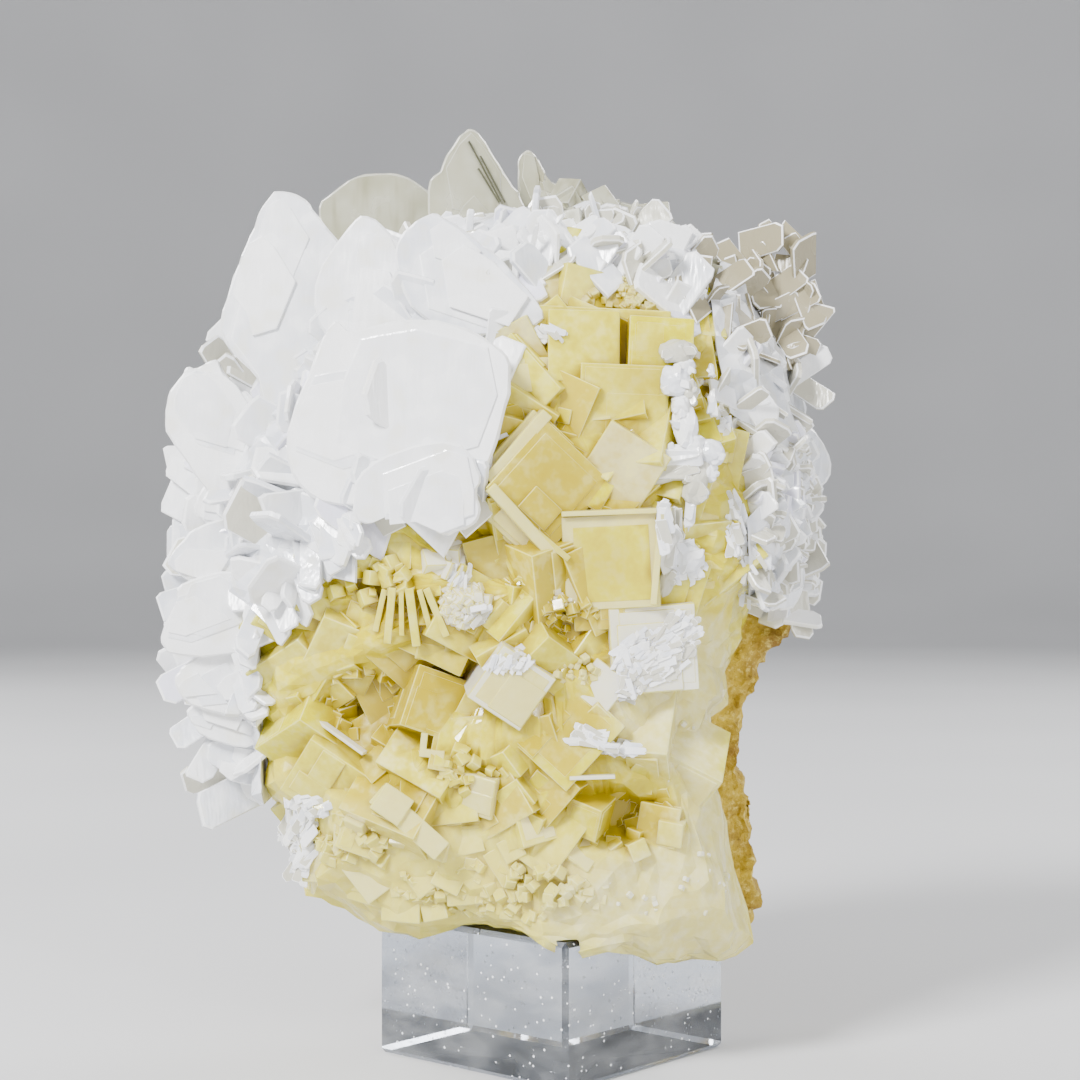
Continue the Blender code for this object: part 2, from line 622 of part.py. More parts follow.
def side_tablets(rng, count, angles, reaches, lengths):
    """Seeded blades standing on the side, each with its flat across or along the rim."""
    items = []
    for _ in range(count):
        angle = math.radians(rng.uniform(*angles))
        y = rng.uniform(*reaches)
        root = side_point(angle, y)
        out = Vector((math.cos(angle), y / SIDE_LEAN, math.sin(angle)))
        shake = Vector([rng.uniform(-0.45, 0.45) for _ in range(3)])
        normal = Vector((-math.sin(angle), rng.uniform(-1.2, 1.2), math.cos(angle)))
        length = rng.uniform(*lengths)
        items.append(tablet(root, out + shake, normal, length, rng.uniform(*TABLET_THICKNESS)))
    return items


def front_tablets(rng, places):
    """Small blades standing on the front at places given as x, z and length."""
    items = []
    for x, z, length in places:
        root = (x, -front_depth(x, z) - TABLET_SUNK, z)
        direction = (rng.uniform(-0.7, 0.5), rng.uniform(-1.1, -0.5), rng.uniform(-0.5, 0.5))
        normal = (rng.uniform(-1, 1), rng.uniform(-0.4, 0.4), rng.uniform(-1, 1))
        items.append(tablet(root, direction, normal, length, rng.uniform(*TABLET_THICKNESS)))
    return items


def fan_tablets():
    """Blades along the fan's lower edge, on the white band over the top and on the sides."""
    rng = random.Random(8)
    places = []
    for (xa, za), (xb, zb) in zip(FAN_BORDER, FAN_BORDER[1:]):
        for step in range(BORDER_TABLETS_A_RUN):
            share = (step + rng.uniform(0.2, 0.8)) / BORDER_TABLETS_A_RUN
            length = rng.uniform(*BORDER_LENGTHS)
            places.append((xa + share * (xb - xa), za + share * (zb - za), length))
    top_x, top_z = BAND_TOP
    for _ in range(BAND_TABLETS):
        x = rng.uniform(*BAND_X)
        z = top_z - abs(x - top_x) * BAND_SLOPE - rng.uniform(0, BAND_HEIGHT)
        places.append((x, z, rng.uniform(*BAND_LENGTHS)))
    return front_tablets(rng, places) + side_tablets(rng, *FAN_SIDE)


def make_fan():
    item = crust(FAN_FIELD, FAN_CRUST)
    for name, row in FAN_BLADES.items():
        combine(item, blade(row), "UNION")
        if name.startswith("edge"):
            for layer in range(1, EDGE_LAYERS):
                shrink = 1 - layer * EDGE_LAYER_SHRINK
                deeper = blade(row, shift=layer * EDGE_LAYER_STEP, shrink=shrink)
                combine(item, deeper, "UNION")
    combine_all(item, fan_tablets(), "UNION")
    cut_by_neighbours(item)
    return item


def make_rosettes():
    rng = random.Random(17)
    item = crust(RIGHT_FIELD, ROSETTE_CRUST)
    combine_all(item, [blade(row) for row in ROSETTE_BLADES.values()], "UNION")
    combine_all(item, side_tablets(rng, *ROSETTE_SIDE), "UNION")
    cut_by_neighbours(item)
    return item


def make_sprig():
    lumps = [lump((x, y, z), radius) for x, y, z, radius in SPRIG_LUMPS]
    item = lumps[0]
    combine_all(item, lumps[1:], "UNION")
    for x, y, z, angle, length, width in SPRIG_BLADES:
        direction = (math.cos(math.radians(angle)), -0.15, math.sin(math.radians(angle)))
        arm = tablet((x, y, z), direction, (0.3, -1, 0.2), length, SPRIG_BLADE_THICKNESS, width)
        combine(item, arm, "UNION")
    cut_by_neighbours(item)
    return item


def finish(item, name, material):
    item.name = name
    item.data.name = name
    item.data.materials.clear()
    item.data.materials.append(material)


def main():
    clear_scene()
    barite = make_material("barite", BARITE_COLOUR, 0.35)
    finish(display_block(0.0), "acrylic_block", make_material("acrylic", BLOCK_COLOUR, 0.02, 1.0))
    finish(make_fluorite(), "fluorite_crystals", make_material("fluorite", FLUORITE_COLOUR, 0.2, 0.3))
    finish(make_matrix(), "matrix_rock", make_material("matrix", MATRIX_COLOUR, 0.8))
    finish(make_fan(), "barite_fan", barite)
    finish(make_rosettes(), "barite_rosettes_right", barite)
    finish(make_sprig(), "barite_sprig", barite)


main()
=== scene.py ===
"""Looks of yellow fluorite with white barite, a hand specimen resting on a clear square block.

Lengths in the tables and constants are millimetres. The specimen's best side faces -Y.
"""

import math
import random

import bmesh
import bpy
import numpy as np
from mathutils import Matrix, Vector, noise
from mathutils.bvhtree import BVHTree


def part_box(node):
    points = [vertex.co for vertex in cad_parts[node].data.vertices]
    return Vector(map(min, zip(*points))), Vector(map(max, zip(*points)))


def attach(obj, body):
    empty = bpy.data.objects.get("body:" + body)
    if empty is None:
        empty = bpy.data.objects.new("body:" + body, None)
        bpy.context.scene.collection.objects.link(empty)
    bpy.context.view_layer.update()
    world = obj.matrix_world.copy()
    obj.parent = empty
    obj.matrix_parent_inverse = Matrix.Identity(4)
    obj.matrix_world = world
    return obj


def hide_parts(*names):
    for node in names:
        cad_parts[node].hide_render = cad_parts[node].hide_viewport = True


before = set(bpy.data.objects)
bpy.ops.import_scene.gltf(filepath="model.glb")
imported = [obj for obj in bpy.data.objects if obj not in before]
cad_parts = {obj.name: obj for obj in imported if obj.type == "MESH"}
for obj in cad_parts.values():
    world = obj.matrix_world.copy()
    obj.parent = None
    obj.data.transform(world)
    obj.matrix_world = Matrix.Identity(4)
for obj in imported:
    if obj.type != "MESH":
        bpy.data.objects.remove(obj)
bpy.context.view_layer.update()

# Blender's noise vectors start from the clock unless they are seeded
noise.seed_set(5)

MM = 0.001

# Camera: level, at the height of the specimen's middle
CAMERA_PLACE = (-1.57, -280.1, 66.0)
CAMERA_LENS = 72
CAMERA_SENSOR = 36

# Floor, in metres: how far it is flat, the radius of its curve and the upright lip behind
FLOOR_FLAT = 1.1
FLOOR_CURVE = 0.5
FLOOR_LIP = 0.1

# Specimen body: every outline is seen along Y and is star-shaped about this centre
CENTRE_X = -4.0
CENTRE_Z = 60.0
SPLIT_Y = 2.0
FRONT_REACH = 24.0
BACK_REACH = 26.0
FRONT_ROUGH = 1.6
BACK_ROUGH = 3.2
CROWN_FLATNESS = 3
CROWN_ROUNDNESS = 0.55
BROAD_WAVE = 0.14
FINE_WAVE = 0.4
GRAIN_WAVE = 1.3
BEYOND = 90
HALF_SPACE = ((-BEYOND, -BEYOND), (BEYOND, -BEYOND), (BEYOND, 2 * BEYOND), (-BEYOND, 2 * BEYOND))

# Spokes and rings of a body, and the steps into which the way from its rim to its crown is divided
SPOKES = 170
CROWN_RINGS = 25
CROWN_SHARES = 26

# The block as its solid has it, the gap that the specimen keeps from it and half the cutter's height
BLOCK_EDGE = 31.75
BLOCK_TURN = 48.8
BLOCK_GAP = 0.3
CUT_HALF = 30

# Where the barite crusts end in front and behind
CRUST_FRONT = -60
CRUST_BACK = 17
CRUST_OVERLAP = 1
CRUST_FINE = 0.9

# A blade's bevel and how ragged its edge is, and the tries for each scattered place
BLADE_RIM = 0.3
BLADE_RAGGED = 0.22
PLACE_TRIES = 40

# Rays that look for hollows, and the turn in radians from one to the next
HOLLOW_RAYS = 14
GOLDEN_TURN = 2.399963

# Rim of the fluorite from the lower left clockwise: x, z and how far it stands in front of y = 0
FRONT_RIM = (
    (-36.5, 34.5, 2), (-37, 40.5, 3), (-39.5, 47, 3), (-39.5, 53, 3), (-40.5, 59.5, 3), (-40.5, 66, 3),
    (-40, 73.5, 3), (-38, 80, 3), (-35, 86.5, 3), (-32, 93.5, 2), (-27, 100, 1), (-21, 103.5, 0),
    (-14.5, 105, 0), (-4, 107, -1), (6.5, 107.5, -1), (14, 105.5, -1), (20, 101.5, -1), (24.5, 97, 0),
    (28, 90.5, 0), (30.5, 84, -1), (31.5, 77.5, -1), (32, 71, -1), (31, 64.5, -1), (28.5, 59.5, 0),
    (25, 57, 2), (22.5, 52.5, 4), (21.5, 49, 5), (22.5, 45.5, 6), (20, 43.5, 8), (19.5, 37.5, 9),
    (22, 30.5, 8), (23, 24, 7), (25, 18, 5), (25, 14, 4), (23, 12.5, 6), (18, 13.5, 9),
    (14, 13.5, 13), (9.5, 15.5, 17), (5.5, 16.5, 20), (3, 16, 21), (0, 18, 22), (-4, 18.5, 18),
    (-9.5, 19, 15), (-14.5, 17, 11), (-21, 16, 6), (-24.5, 17.5, 5), (-29, 20, 4), (-32, 20.5, 3),
    (-32.5, 26.5, 2), (-34, 30.5, 2),
)

# Rim of the rock behind it, in the same order
BACK_RIM = (
    (-35.5, 34.5, 4), (-37, 42, 4), (-38.5, 53, 4), (-39, 66, 4), (-37, 79, 4), (-32, 91, 4),
    (-24.5, 99, 4), (-14.5, 103, 4), (-4, 105.5, 4), (6.5, 107, 4), (15, 105, 4), (22, 100, 4),
    (28, 92, 4), (31.5, 82, 4), (33, 71.5, 4), (33, 64.5, 4), (32, 59, 4), (30.5, 54, 4),
    (28, 50.5, 4), (26.5, 46.5, 4), (24.5, 43.5, 4), (24, 38, 4), (25.5, 32, 4), (26.5, 25, 4),
    (27, 18.5, 4), (25.5, 14, 4), (19, 12.5, 4), (6.5, 13, 4), (-7, 13.5, 4), (-20, 15.5, 4),
    (-30, 20, 4), (-32, 26, 4), (-34, 30, 4),
)

# Hollows in the fluorite: x, z, half width, half height, depth
HOLLOWS = (
    (-22, 45.5, 6, 4.5, 8), (-14, 50, 5, 3, 6), (8, 33.5, 5.5, 3.5, 7), (24, 75, 3.5, 6, 3),
    (-9, 63.5, 4, 3, 3), (-26, 38, 5, 2.5, 4), (2, 55, 4, 2, 2.5),
)

# What a face shows. It is kept as the material index while shapes are joined, in four shades of each kind.
KINDS = ("body", "face", "edge", "lemon", "deep", "beige", "coat", "bright", "glass", "lilac", "dark")
SHADES = 4
# Chamfers and bevels are of kind 'edge', which the shaders paint lighter as highlight.
CHAMFER = 0.11

# Fluorite cubes: x, y and z of the middle of the front face, edge, yaw, pitch and roll in degrees,
# the kind of the faces and the kind of a clearer square inside the front face
CUBES = {
    "upper_base": (5.6, -20.6, 85.5, 17, 6, -4, 2, "face", None),
    "upper_left": (3.7, -22.6, 89.2, 8.6, 7, -4, 1, "face", None),
    "upper_right": (12.9, -22.4, 88.8, 7.8, 5, -5, 3, "lemon", "lemon"),
    "upper_low": (8.4, -23.0, 81.6, 10.6, 3, 5, 2, "face", "face"),
    "upper_corner": (-4.6, -21.6, 88.2, 7.0, -8, 8, -28, "beige", None),
    "upper_crest": (1.4, -18.6, 95.6, 7.5, 8, -22, 12, "beige", None),
    "upper_crest_right": (10.5, -16.5, 96.6, 7, 10, -26, 22, "beige", None),
    "frosted_square": (-2.6, -22.8, 84.6, 6.2, 2, 2, -3, "coat", None),
    "beside_plate": (-5.2, -23.4, 79.5, 5.4, 4, 4, -14, "deep", None),
    "diamond": (-0.5, -25.4, 72.5, 10.8, 14, 3, 42, "deep", "deep"),
    "diamond_frame": (-1.9, -24.0, 72.0, 13.4, 14, 3, 42, "coat", None),
    "frosted_face": (8.2, -24.2, 74.4, 8.4, -8, 6, 33, "beige", None),
    "bright": (6.8, -25.0, 63.4, 11.2, -5, 5, -3, "coat", "lemon"),
    "bright_patch": (5.4, -24.2, 58.4, 6.2, -4, 6, -4, "deep", None),
    "beside_bright": (13.5, -22.5, 60, 9, 12, 0, 18, "face", None),
    "golden_ledge": (3.0, -22.4, 55.4, 10.5, 2, 10, 4, "deep", "deep"),
    "ribbed": (-17.5, -21.5, 58.5, 11, -10, 14, 8, "lemon", None),
    "ribbed_step": (-13, -23, 54.0, 6, 0, 18, 12, "face", None),
    "left_big": (-31, -17, 54.5, 13, -34, 4, 38, "lemon", "face"),
    "left_high": (-26.5, -19.2, 62, 9, -22, -6, 15, "face", "lemon"),
    "left_tip": (-35.5, -11, 46, 8, -50, 6, 20, "face", None),
    "small_plate": (-4.9, -26.6, 48.6, 7.6, 6, 10, 34, "bright", "coat"),
    "white_plate": (12, -23.6, 53, 10.4, 6, 4, -4, "bright", "bright"),
    "low_diamond": (1.2, -24.4, 43.6, 10.4, -4, -8, 42, "lemon", "deep"),
    "pale_corner": (5.6, -24.2, 48.6, 5.0, -6, -4, 38, "bright", None),
    "middle": (-9.5, -22.5, 42.5, 9.4, 8, -12, 12, "deep", "lemon"),
    "cavity_wall": (-13.6, -22.6, 46.4, 7.6, 16, -6, 20, "deep", "deep"),
    "shadow_wedge": (-27.5, -17, 36, 9.5, -20, 26, 38, "face", None),
    "pale_block": (-9.5, -23.2, 35.6, 5.2, -24, 16, 14, "coat", None),
    "low_left": (-21, -16, 25, 9, -24, 14, 12, "face", None),
    "low_middle": (-8.5, -20.8, 27, 10, -8, 12, -6, "face", "lemon"),
    "small_square": (-2, -23.2, 32.2, 4.6, 20, -12, -12, "face", "coat"),
    "small_square_right": (3.4, -23.0, 32.6, 4.4, -26, 16, 20, "face", "lemon"),
    "pit_wall": (12.6, -20.0, 31.6, 5, -14, 4, 10, "deep", None),
    "pit_floor": (8.4, -17.5, 33.0, 6, 10, 8, 24, "deep", None),
    "left_low": (-29, -12, 28, 8, -40, 6, 10, "face", None),
    "right_upper": (18, -15, 91, 8, 26, -12, 8, "face", None),
    "right_middle": (20, -14.5, 66, 8.5, 24, 6, 12, "face", "lemon"),
    "right_recess": (23, -10.5, 74, 8, 34, 0, 4, "deep", None),
}

# Straight bars, ledges and thin edges of the fluorite: x, y, z of the middle, half sizes, yaw, pitch and
# roll in degrees, and the kind. The thin bars of kind 'bright' are painted highlight along rims.
BARS = {
    "ledge_high": (-4.3, -25.2, 77.0, 5.3, 1.2, 0.75, 10, 3, -49, "coat"),
    "ledge_low": (-3.9, -26.0, 68.3, 5.4, 1.2, 0.7, 10, 3, 47, "coat"),
    "ledge_low_2": (-1.6, -25.6, 66.6, 4.4, 1.0, 0.35, 6, 3, 40, "face"),
    "bright_top": (6.6, -25.4, 69.3, 5.6, 0.8, 0.3, -5, 5, -2, "coat"),
    "bright_side": (12.3, -25.3, 63.8, 0.4, 0.8, 5.4, -5, 5, 5, "coat"),
    "beside_plate_line": (-6.9, -26.2, 80.0, 6.9, 0.5, 0.22, 0, 0, -76, "bright"),
    "rib_1": (-20.4, -22.3, 57.8, 2.6, 1.4, 0.34, -8, 8, 104, "face"),
    "rib_2": (-19.2, -22.8, 57.2, 3.4, 1.4, 0.45, -8, 8, 97, "face"),
    "rib_3": (-17.8, -22.9, 57.6, 2.8, 1.4, 0.30, -8, 8, 91, "face"),
    "rib_4": (-16.5, -23.2, 57.0, 3.5, 1.4, 0.50, -6, 8, 84, "face"),
    "rib_5": (-15.0, -23.3, 57.7, 2.7, 1.4, 0.32, -6, 8, 76, "face"),
    "rib_6": (-13.7, -23.4, 57.6, 3.1, 1.4, 0.42, -6, 8, 68, "face"),
    "cavity_lip": (-14.4, -24.6, 52.2, 3.4, 0.6, 0.25, 0, 8, -8, "bright"),
    "cavity_lip_2": (-18.6, -23.6, 51.0, 2.0, 0.6, 0.22, -10, 8, 24, "bright"),
    "plate_edge": (-7.6, -27.6, 46.9, 4.4, 0.5, 0.24, 6, 10, 36.5, "bright"),
    "glint_bar": (-17.4, -22.6, 41.6, 1.4, 0.5, 0.24, 0, 0, 42, "bright"),
    "small_foot": (-14.4, -23.0, 40.6, 1.5, 0.6, 0.5, 0, 0, 6, "coat"),
    "small_post": (-15.4, -23.0, 41.8, 0.4, 0.6, 1.3, 0, 0, 6, "coat"),
    "pale_bar": (-17.2, -23.0, 32.4, 5.2, 1.6, 1.35, 6, -6, 42, "coat"),
    "pale_bar_step": (-19.2, -23.4, 34.6, 2.0, 1.6, 1.8, 6, -6, 34, "coat"),
    "pit_rim": (4.6, -25.0, 38.0, 2.7, 0.6, 0.25, 0, 0, -2, "bright"),
    "pit_rim_right": (10.2, -24.4, 36.6, 2.6, 0.6, 0.25, -6, 0, 30, "coat"),
    "left_edge_line": (-26.2, -18.4, 42.6, 4.4, 0.5, 0.22, -24, 6, 32, "bright"),
    "shard": (-0.2, -24.6, 91.0, 1.9, 0.5, 0.5, 0, 0, 38, "bright"),
}

# Patches of tiny cubes: x, z, half width, half height, count, smallest and largest edge, swelling, kind
DRUSE = (
    (10.9, 96.2, 3.3, 2.8, 150, 0.5, 1.2, 1.6, "beige"), (4.6, 95.6, 3.4, 2.0, 50, 0.5, 1.1, 0.5, "beige"),
    (-10.6, 58.6, 2.6, 3.0, 110, 0.5, 1.3, 1.2, "bright"),
    (-12.4, 63.6, 2.0, 1.8, 10, 1.2, 2.6, 1.0, "bright"),
    (24.6, 63.6, 2.6, 5.2, 190, 0.5, 1.2, 0.6, "bright"), (-1.6, 61.2, 2.6, 3.6, 70, 0.4, 1.1, 0.3, "face"),
    (0.2, 58.4, 1.8, 1.6, 30, 0.4, 0.9, 0.5, "bright"), (-21, 46, 6.5, 4.5, 46, 1.0, 2.6, 0.6, "deep"),
    (8, 33.5, 6, 4, 44, 0.8, 2.0, 0.6, "deep"), (2, 56.4, 6, 2.2, 44, 0.5, 1.5, 1.0, "deep"),
    (-22, 61.5, 5, 2.5, 26, 0.8, 2.0, 0.8, "face"), (-26, 30, 6, 4, 60, 0.6, 1.7, 0.4, "face"),
    (-6, 24, 14, 3.5, 130, 0.5, 1.5, 0.3, "face"), (16, 40, 4, 4, 22, 0.3, 0.7, 0.1, "bright"),
    (14, 24, 8, 5, 34, 0.3, 0.8, 0.1, "bright"), (3, 50.5, 4, 1.6, 24, 0.4, 1.0, 0.5, "coat"),
    (-4, 51.6, 2.4, 1.0, 18, 0.6, 1.6, 2.6, "glass"), (-1.2, 56.0, 0.4, 0.3, 3, 0.3, 0.6, 1.3, "dark"),
    (17, 84, 2.4, 5, 20, 0.4, 1.0, 0.4, "bright"), (-10, 39, 5, 2.5, 26, 0.7, 1.6, 0.9, "face"),
)

# Where the fluorite is open to view, and where it is broken smooth, seen along Y
OPEN_FIELD = (
    (-36, 36), (-36, 52), (-25, 65), (-10, 67), (-7, 80), (-4, 96), (10, 102), (20, 96), (25, 80),
    (27, 66), (19, 52), (16, 40), (16, 24), (14, 20), (0, 22.5), (-20, 20.5), (-31, 25),
)
CREAM_FIELD = (
    (10, 56), (21, 57), (23, 46), (20, 40), (25, 18), (24, 12), (8, 15), (-2, 19), (2, 27), (14, 29),
    (16, 36), (8, 42), (6, 48),
)
PALE_FIELD = (
    (-36, 40), (-30, 36), (-20, 34), (-8, 31), (6, 29), (10, 14), (-8, 17), (-22, 15), (-33, 20),
)
# Spots where the fluorite is darker gold: x, z, half width, half height. Over the hollows this is painted
# recess shade.
DEEP_SPOTS = (
    (-20, 46, 7, 5), (-13, 50, 5, 3), (8, 34, 6, 4), (24, 75, 4, 6), (-10, 65, 4, 2), (2, 56.5, 5, 2),
    (0, 73, 6, 6), (6.5, 63, 6, 5), (0, 44, 6, 5), (11, 86, 5, 5),
)

# Barite blades facing the viewer: y, slope of y along x and along z, thickness, outline in x and z
FAN_BLADES = {
    "tall_left": (-14, -0.1, 0.05, 2.4, (
        (-36, 107), (-34.5, 109), (-32.5, 109), (-30.5, 108), (-29, 106), (-25.5, 101.5), (-22.5, 95.5),
        (-23, 87), (-28, 82), (-33, 78), (-35, 80), (-36, 83.5), (-36.5, 86), (-39.5, 89), (-41, 92),
        (-40.5, 95.5), (-39, 100), (-37.5, 103.5))),
    "big_middle": (-25.6, -0.14, 0.04, 2.2, (
        (-27, 90.5), (-26, 92), (-24.5, 91), (-22.5, 91), (-18, 92), (-12, 91.5), (-7, 89), (-5, 86.5),
        (-5.5, 81.5), (-7, 76.5), (-8.5, 73.5), (-13.5, 70.5), (-20.5, 70), (-27.5, 70.5), (-31, 74),
        (-31.5, 79), (-30, 83.5), (-28, 88.5))),
    "low_middle": (-27.6, -0.08, -0.05, 1.8, (
        (-10, 76.5), (-8.5, 73.5), (-9, 71.5), (-8.5, 69.5), (-9, 68), (-11, 67), (-13, 66.5), (-15, 68),
        (-17.5, 68.5), (-20, 68.5), (-22, 68), (-23.5, 69.5), (-22.5, 74), (-18, 76.5), (-13, 77.5))),
    "left_arm": (-12, 0.05, 0.05, 2.4, (
        (-48, 82), (-47.5, 84.5), (-46, 86.5), (-45.5, 87.5), (-44, 87.5), (-42, 88.5), (-41, 87),
        (-39, 84.5), (-38, 84.5), (-36.5, 82.5), (-34.5, 79), (-33, 75), (-36.5, 71), (-41, 71),
        (-43.5, 73), (-46, 76.5), (-48, 79.5))),
    "top_front": (-20.5, 0.04, 0.18, 2.2, (
        (-18.5, 102.5), (-16.5, 104.5), (-14.5, 105.5), (-12.5, 104.5), (-9.5, 102.5), (-6, 99.5),
        (-3, 96), (-1, 92.5), (-6.5, 90.5), (-12.5, 91), (-17, 94), (-19, 99.5))),
    "upper_step": (-18.5, -0.1, 0.12, 2.2, (
        (-25, 104), (-22.5, 105.5), (-19.5, 103), (-16, 100), (-15, 93), (-20, 88), (-27, 90), (-29, 97))),
    "edge_1": (-9, 0.1, 0, 2.4, (
        (-43.5, 73), (-45, 70), (-44, 68.5), (-40, 66), (-34.5, 67), (-34, 73), (-39, 75))),
    "edge_2": (-11, 0.1, 0, 2.4, (
        (-44.5, 67.5), (-46, 66), (-47.5, 64.5), (-48, 63), (-47, 62), (-44.5, 60.5), (-38, 59),
        (-33, 61), (-33, 67), (-39, 69))),
    "edge_3": (-13, 0.08, 0, 2.4, (
        (-46, 60.5), (-46.5, 58.5), (-47.5, 56.5), (-48.5, 54), (-48, 52.5), (-47, 52), (-43.5, 51.5),
        (-36, 52.5), (-31.5, 56), (-33, 61), (-41, 62))),
    "edge_4": (-11.5, 0.08, 0, 2.2, (
        (-45, 51), (-46.5, 49.5), (-47, 48.5), (-46.5, 47), (-45, 45.5), (-39, 44), (-35, 46.5),
        (-35, 51.5), (-41, 53))),
    "edge_5": (-9.5, 0.06, 0, 2.2, (
        (-45.5, 45), (-45.5, 43.5), (-44.5, 42), (-43, 41), (-38.5, 40), (-35.5, 42), (-35.5, 46),
        (-41.5, 47))),
    "edge_6": (-7.5, 0.06, 0, 2, (
        (-43, 40.5), (-43.5, 39.5), (-43.5, 38), (-42, 37), (-40.5, 35.5), (-35.5, 35), (-34, 39),
        (-38.5, 42))),
}
# Translucent blades along the crest, in the same form
CLEAR_BLADES = {
    "crest_clear": (2, 0.05, 0, 2, (
        (-30.5, 109.5), (-28.5, 111.5), (-25.5, 113.5), (-22, 114), (-19, 113.5), (-16, 111.5),
        (-14, 109.5), (-13, 103), (-20, 97), (-27, 97), (-29.5, 105))),
    "apex": (-2, 0.1, 0.05, 1.8, (
        (-16, 111), (-14.5, 113.5), (-13, 116.5), (-11.5, 118.5), (-10.5, 119), (-9, 118), (-7.5, 115.5),
        (-5.5, 112.5), (-4, 110), (-3, 106.5), (-4, 100), (-9.5, 98), (-14.5, 102))),
    "finger": (4, 0, 0.1, 1.8, (
        (-4.5, 112), (-4.5, 115.5), (-4, 117), (-3, 117.5), (-2, 116.5), (-1, 114.5), (-1, 112),
        (0, 109), (-1, 103), (-4, 103))),
    "crest_behind": (15, 0, 0.1, 2, (
        (-1.5, 115.5), (0, 115), (2, 114.5), (4.5, 114.5), (4.5, 112), (4, 98), (-1, 98))),
}
# Single blades of the right edge, white ones and the brown ones behind them, darkened as painted shade, in
# the same form
ROSETTE_BLADES = {
    "white_low": (-7, 0.3, 0.1, 2.2, (
        (27.5, 66), (29.5, 67), (31.5, 64), (32, 60.5), (30.5, 57.5), (28, 57.5), (26.5, 61))),
    "white_tip": (-1, 0.2, 0, 2.2, (
        (29, 80), (33, 81), (36, 77), (35.5, 73.5), (31, 71), (27.5, 74))),
}
ROSETTE_CLEAR = {
    "clear_behind": (17, 0.05, 0.1, 2.2, (
        (22.5, 103.5), (24, 103), (26.5, 102.5), (29, 102.5), (31, 101.5), (33, 99), (34.5, 96.5),
        (34.5, 95), (32, 94), (27, 90), (20, 86), (16, 90), (20, 100))),
    "clear_front": (13, 0.35, -0.1, 1.8, (
        (19.5, 103), (24, 103.5), (28.5, 101.5), (30.5, 97), (31.5, 93), (27, 90), (21, 91), (18, 97))),
    "clear_edge": (9, 0.5, 0.15, 1.4, (
        (26, 100.5), (29.5, 101), (31, 97.5), (32, 92.5), (29, 90), (25, 92), (24.5, 97))),
    "clear_low": (11, 0.3, 0, 1.8, (
        (29, 89), (32.5, 88.5), (34, 86), (34, 83), (32, 80), (28, 80), (26.5, 85))),
}

# No side blade's tip reaches further left than this
LEFT_END = -49.6

# Each edge blade is repeated behind itself, a little smaller
EDGE_LAYERS = 4
EDGE_LAYER_STEP = 3.1
EDGE_LAYER_SHRINK = 0.05

# Where the white crusts lie, seen along Y, and the lower border of the left one
FAN_FIELD = (
    (-36, 33), (-36.5, 44), (-38.5, 50), (-36.5, 54), (-34, 57.5), (-30, 62), (-26.5, 65.5), (-22.5, 69),
    (-14.5, 69), (-9, 70.5), (-9, 78), (-6.5, 86.5), (-7, 91), (-7, 95), (-1.5, 100), (3.5, 101.5),
    (12, 101), (15, 98), (18, 100), (21, 106), (14.5, 114), (-4, 114), (-23, 112), (-36, 100),
    (-46, 82), (-50, 63.5), (-47, 45), (-43, 31),
)
FAN_BORDER = ((-37, 40), (-38, 48), (-35, 56), (-30, 61.5), (-26, 66), (-22, 69))
RIGHT_FIELD = (
    (20, 89), (19.5, 96), (22.5, 104), (30, 106), (42, 95), (42, 71.5), (37, 56), (28, 56),
    (24, 59), (23.5, 68.5), (26, 71), (25, 79.5), (21.5, 81.5),
)

# White barite lying on the fluorite: x, z, half width, half height, direction of the blades in degrees,
# count, blade length
COATS = (
    (12.0, 52.4, 4.2, 3.2, -150, 90, 1.7), (14.6, 54.4, 2.2, 2.4, 40, 50, 1.6),
    (9.0, 51.4, 1.4, 3.0, -95, 30, 1.6), (4.6, 42.6, 1.7, 0.9, 165, 30, 1.7),
    (7.6, 41.4, 2.2, 0.7, -20, 26, 1.6), (8.4, 47.6, 1.2, 0.6, 0, 14, 1.2),
    (-31.4, 29.4, 2.4, 4.4, -110, 90, 2.2), (-29.8, 33.4, 3.0, 1.2, 10, 36, 2.0),
    (-5.2, 51.2, 3.0, 0.7, 60, 34, 1.1), (13.8, 67.6, 1.5, 2.8, -85, 50, 2.2),
    (15.0, 63.8, 2.0, 1.6, -60, 46, 2.0), (22.0, 68.6, 1.2, 3.6, -80, 34, 1.8),
    (20.6, 80.6, 0.6, 2.2, -88, 14, 1.7), (-0.8, 90.8, 1.7, 0.7, -30, 16, 1.8),
    (24.4, 62.4, 2.2, 4.2, -80, 26, 1.4), (-11.0, 61.4, 1.4, 1.0, 70, 14, 1.2),
    (-9.2, 57.2, 1.4, 1.4, 30, 14, 1.2),
)

# Translucent grey lumps along the crest: x, y, z and radius
CREST_LUMPS = (
    (0.5, -4, 107.6, 2.4), (3.0, -3, 108.0, 2.8), (5.6, -4, 107.8, 2.6), (8.2, -3, 107.4, 2.2),
    (10.6, -2, 106.6, 2.0), (12.8, -1, 107.0, 2.2), (13.6, -4, 104.6, 2.4), (16.2, -3, 102.8, 2.4),
    (18.4, -2, 101.2, 2.4), (20.4, -2, 99.0, 2.6), (22.0, -3, 96.8, 2.2), (7.0, -7, 105.4, 2.0),
    (2.0, -8, 105.2, 2.2), (11.4, -7, 104.2, 2.0), (15.6, 4, 104.0, 2.4), (9.0, 5, 107.0, 2.6),
    (3.5, 6, 107.8, 2.6), (-2.0, 5, 107.0, 2.8), (19.5, 5, 101.5, 2.6),
)

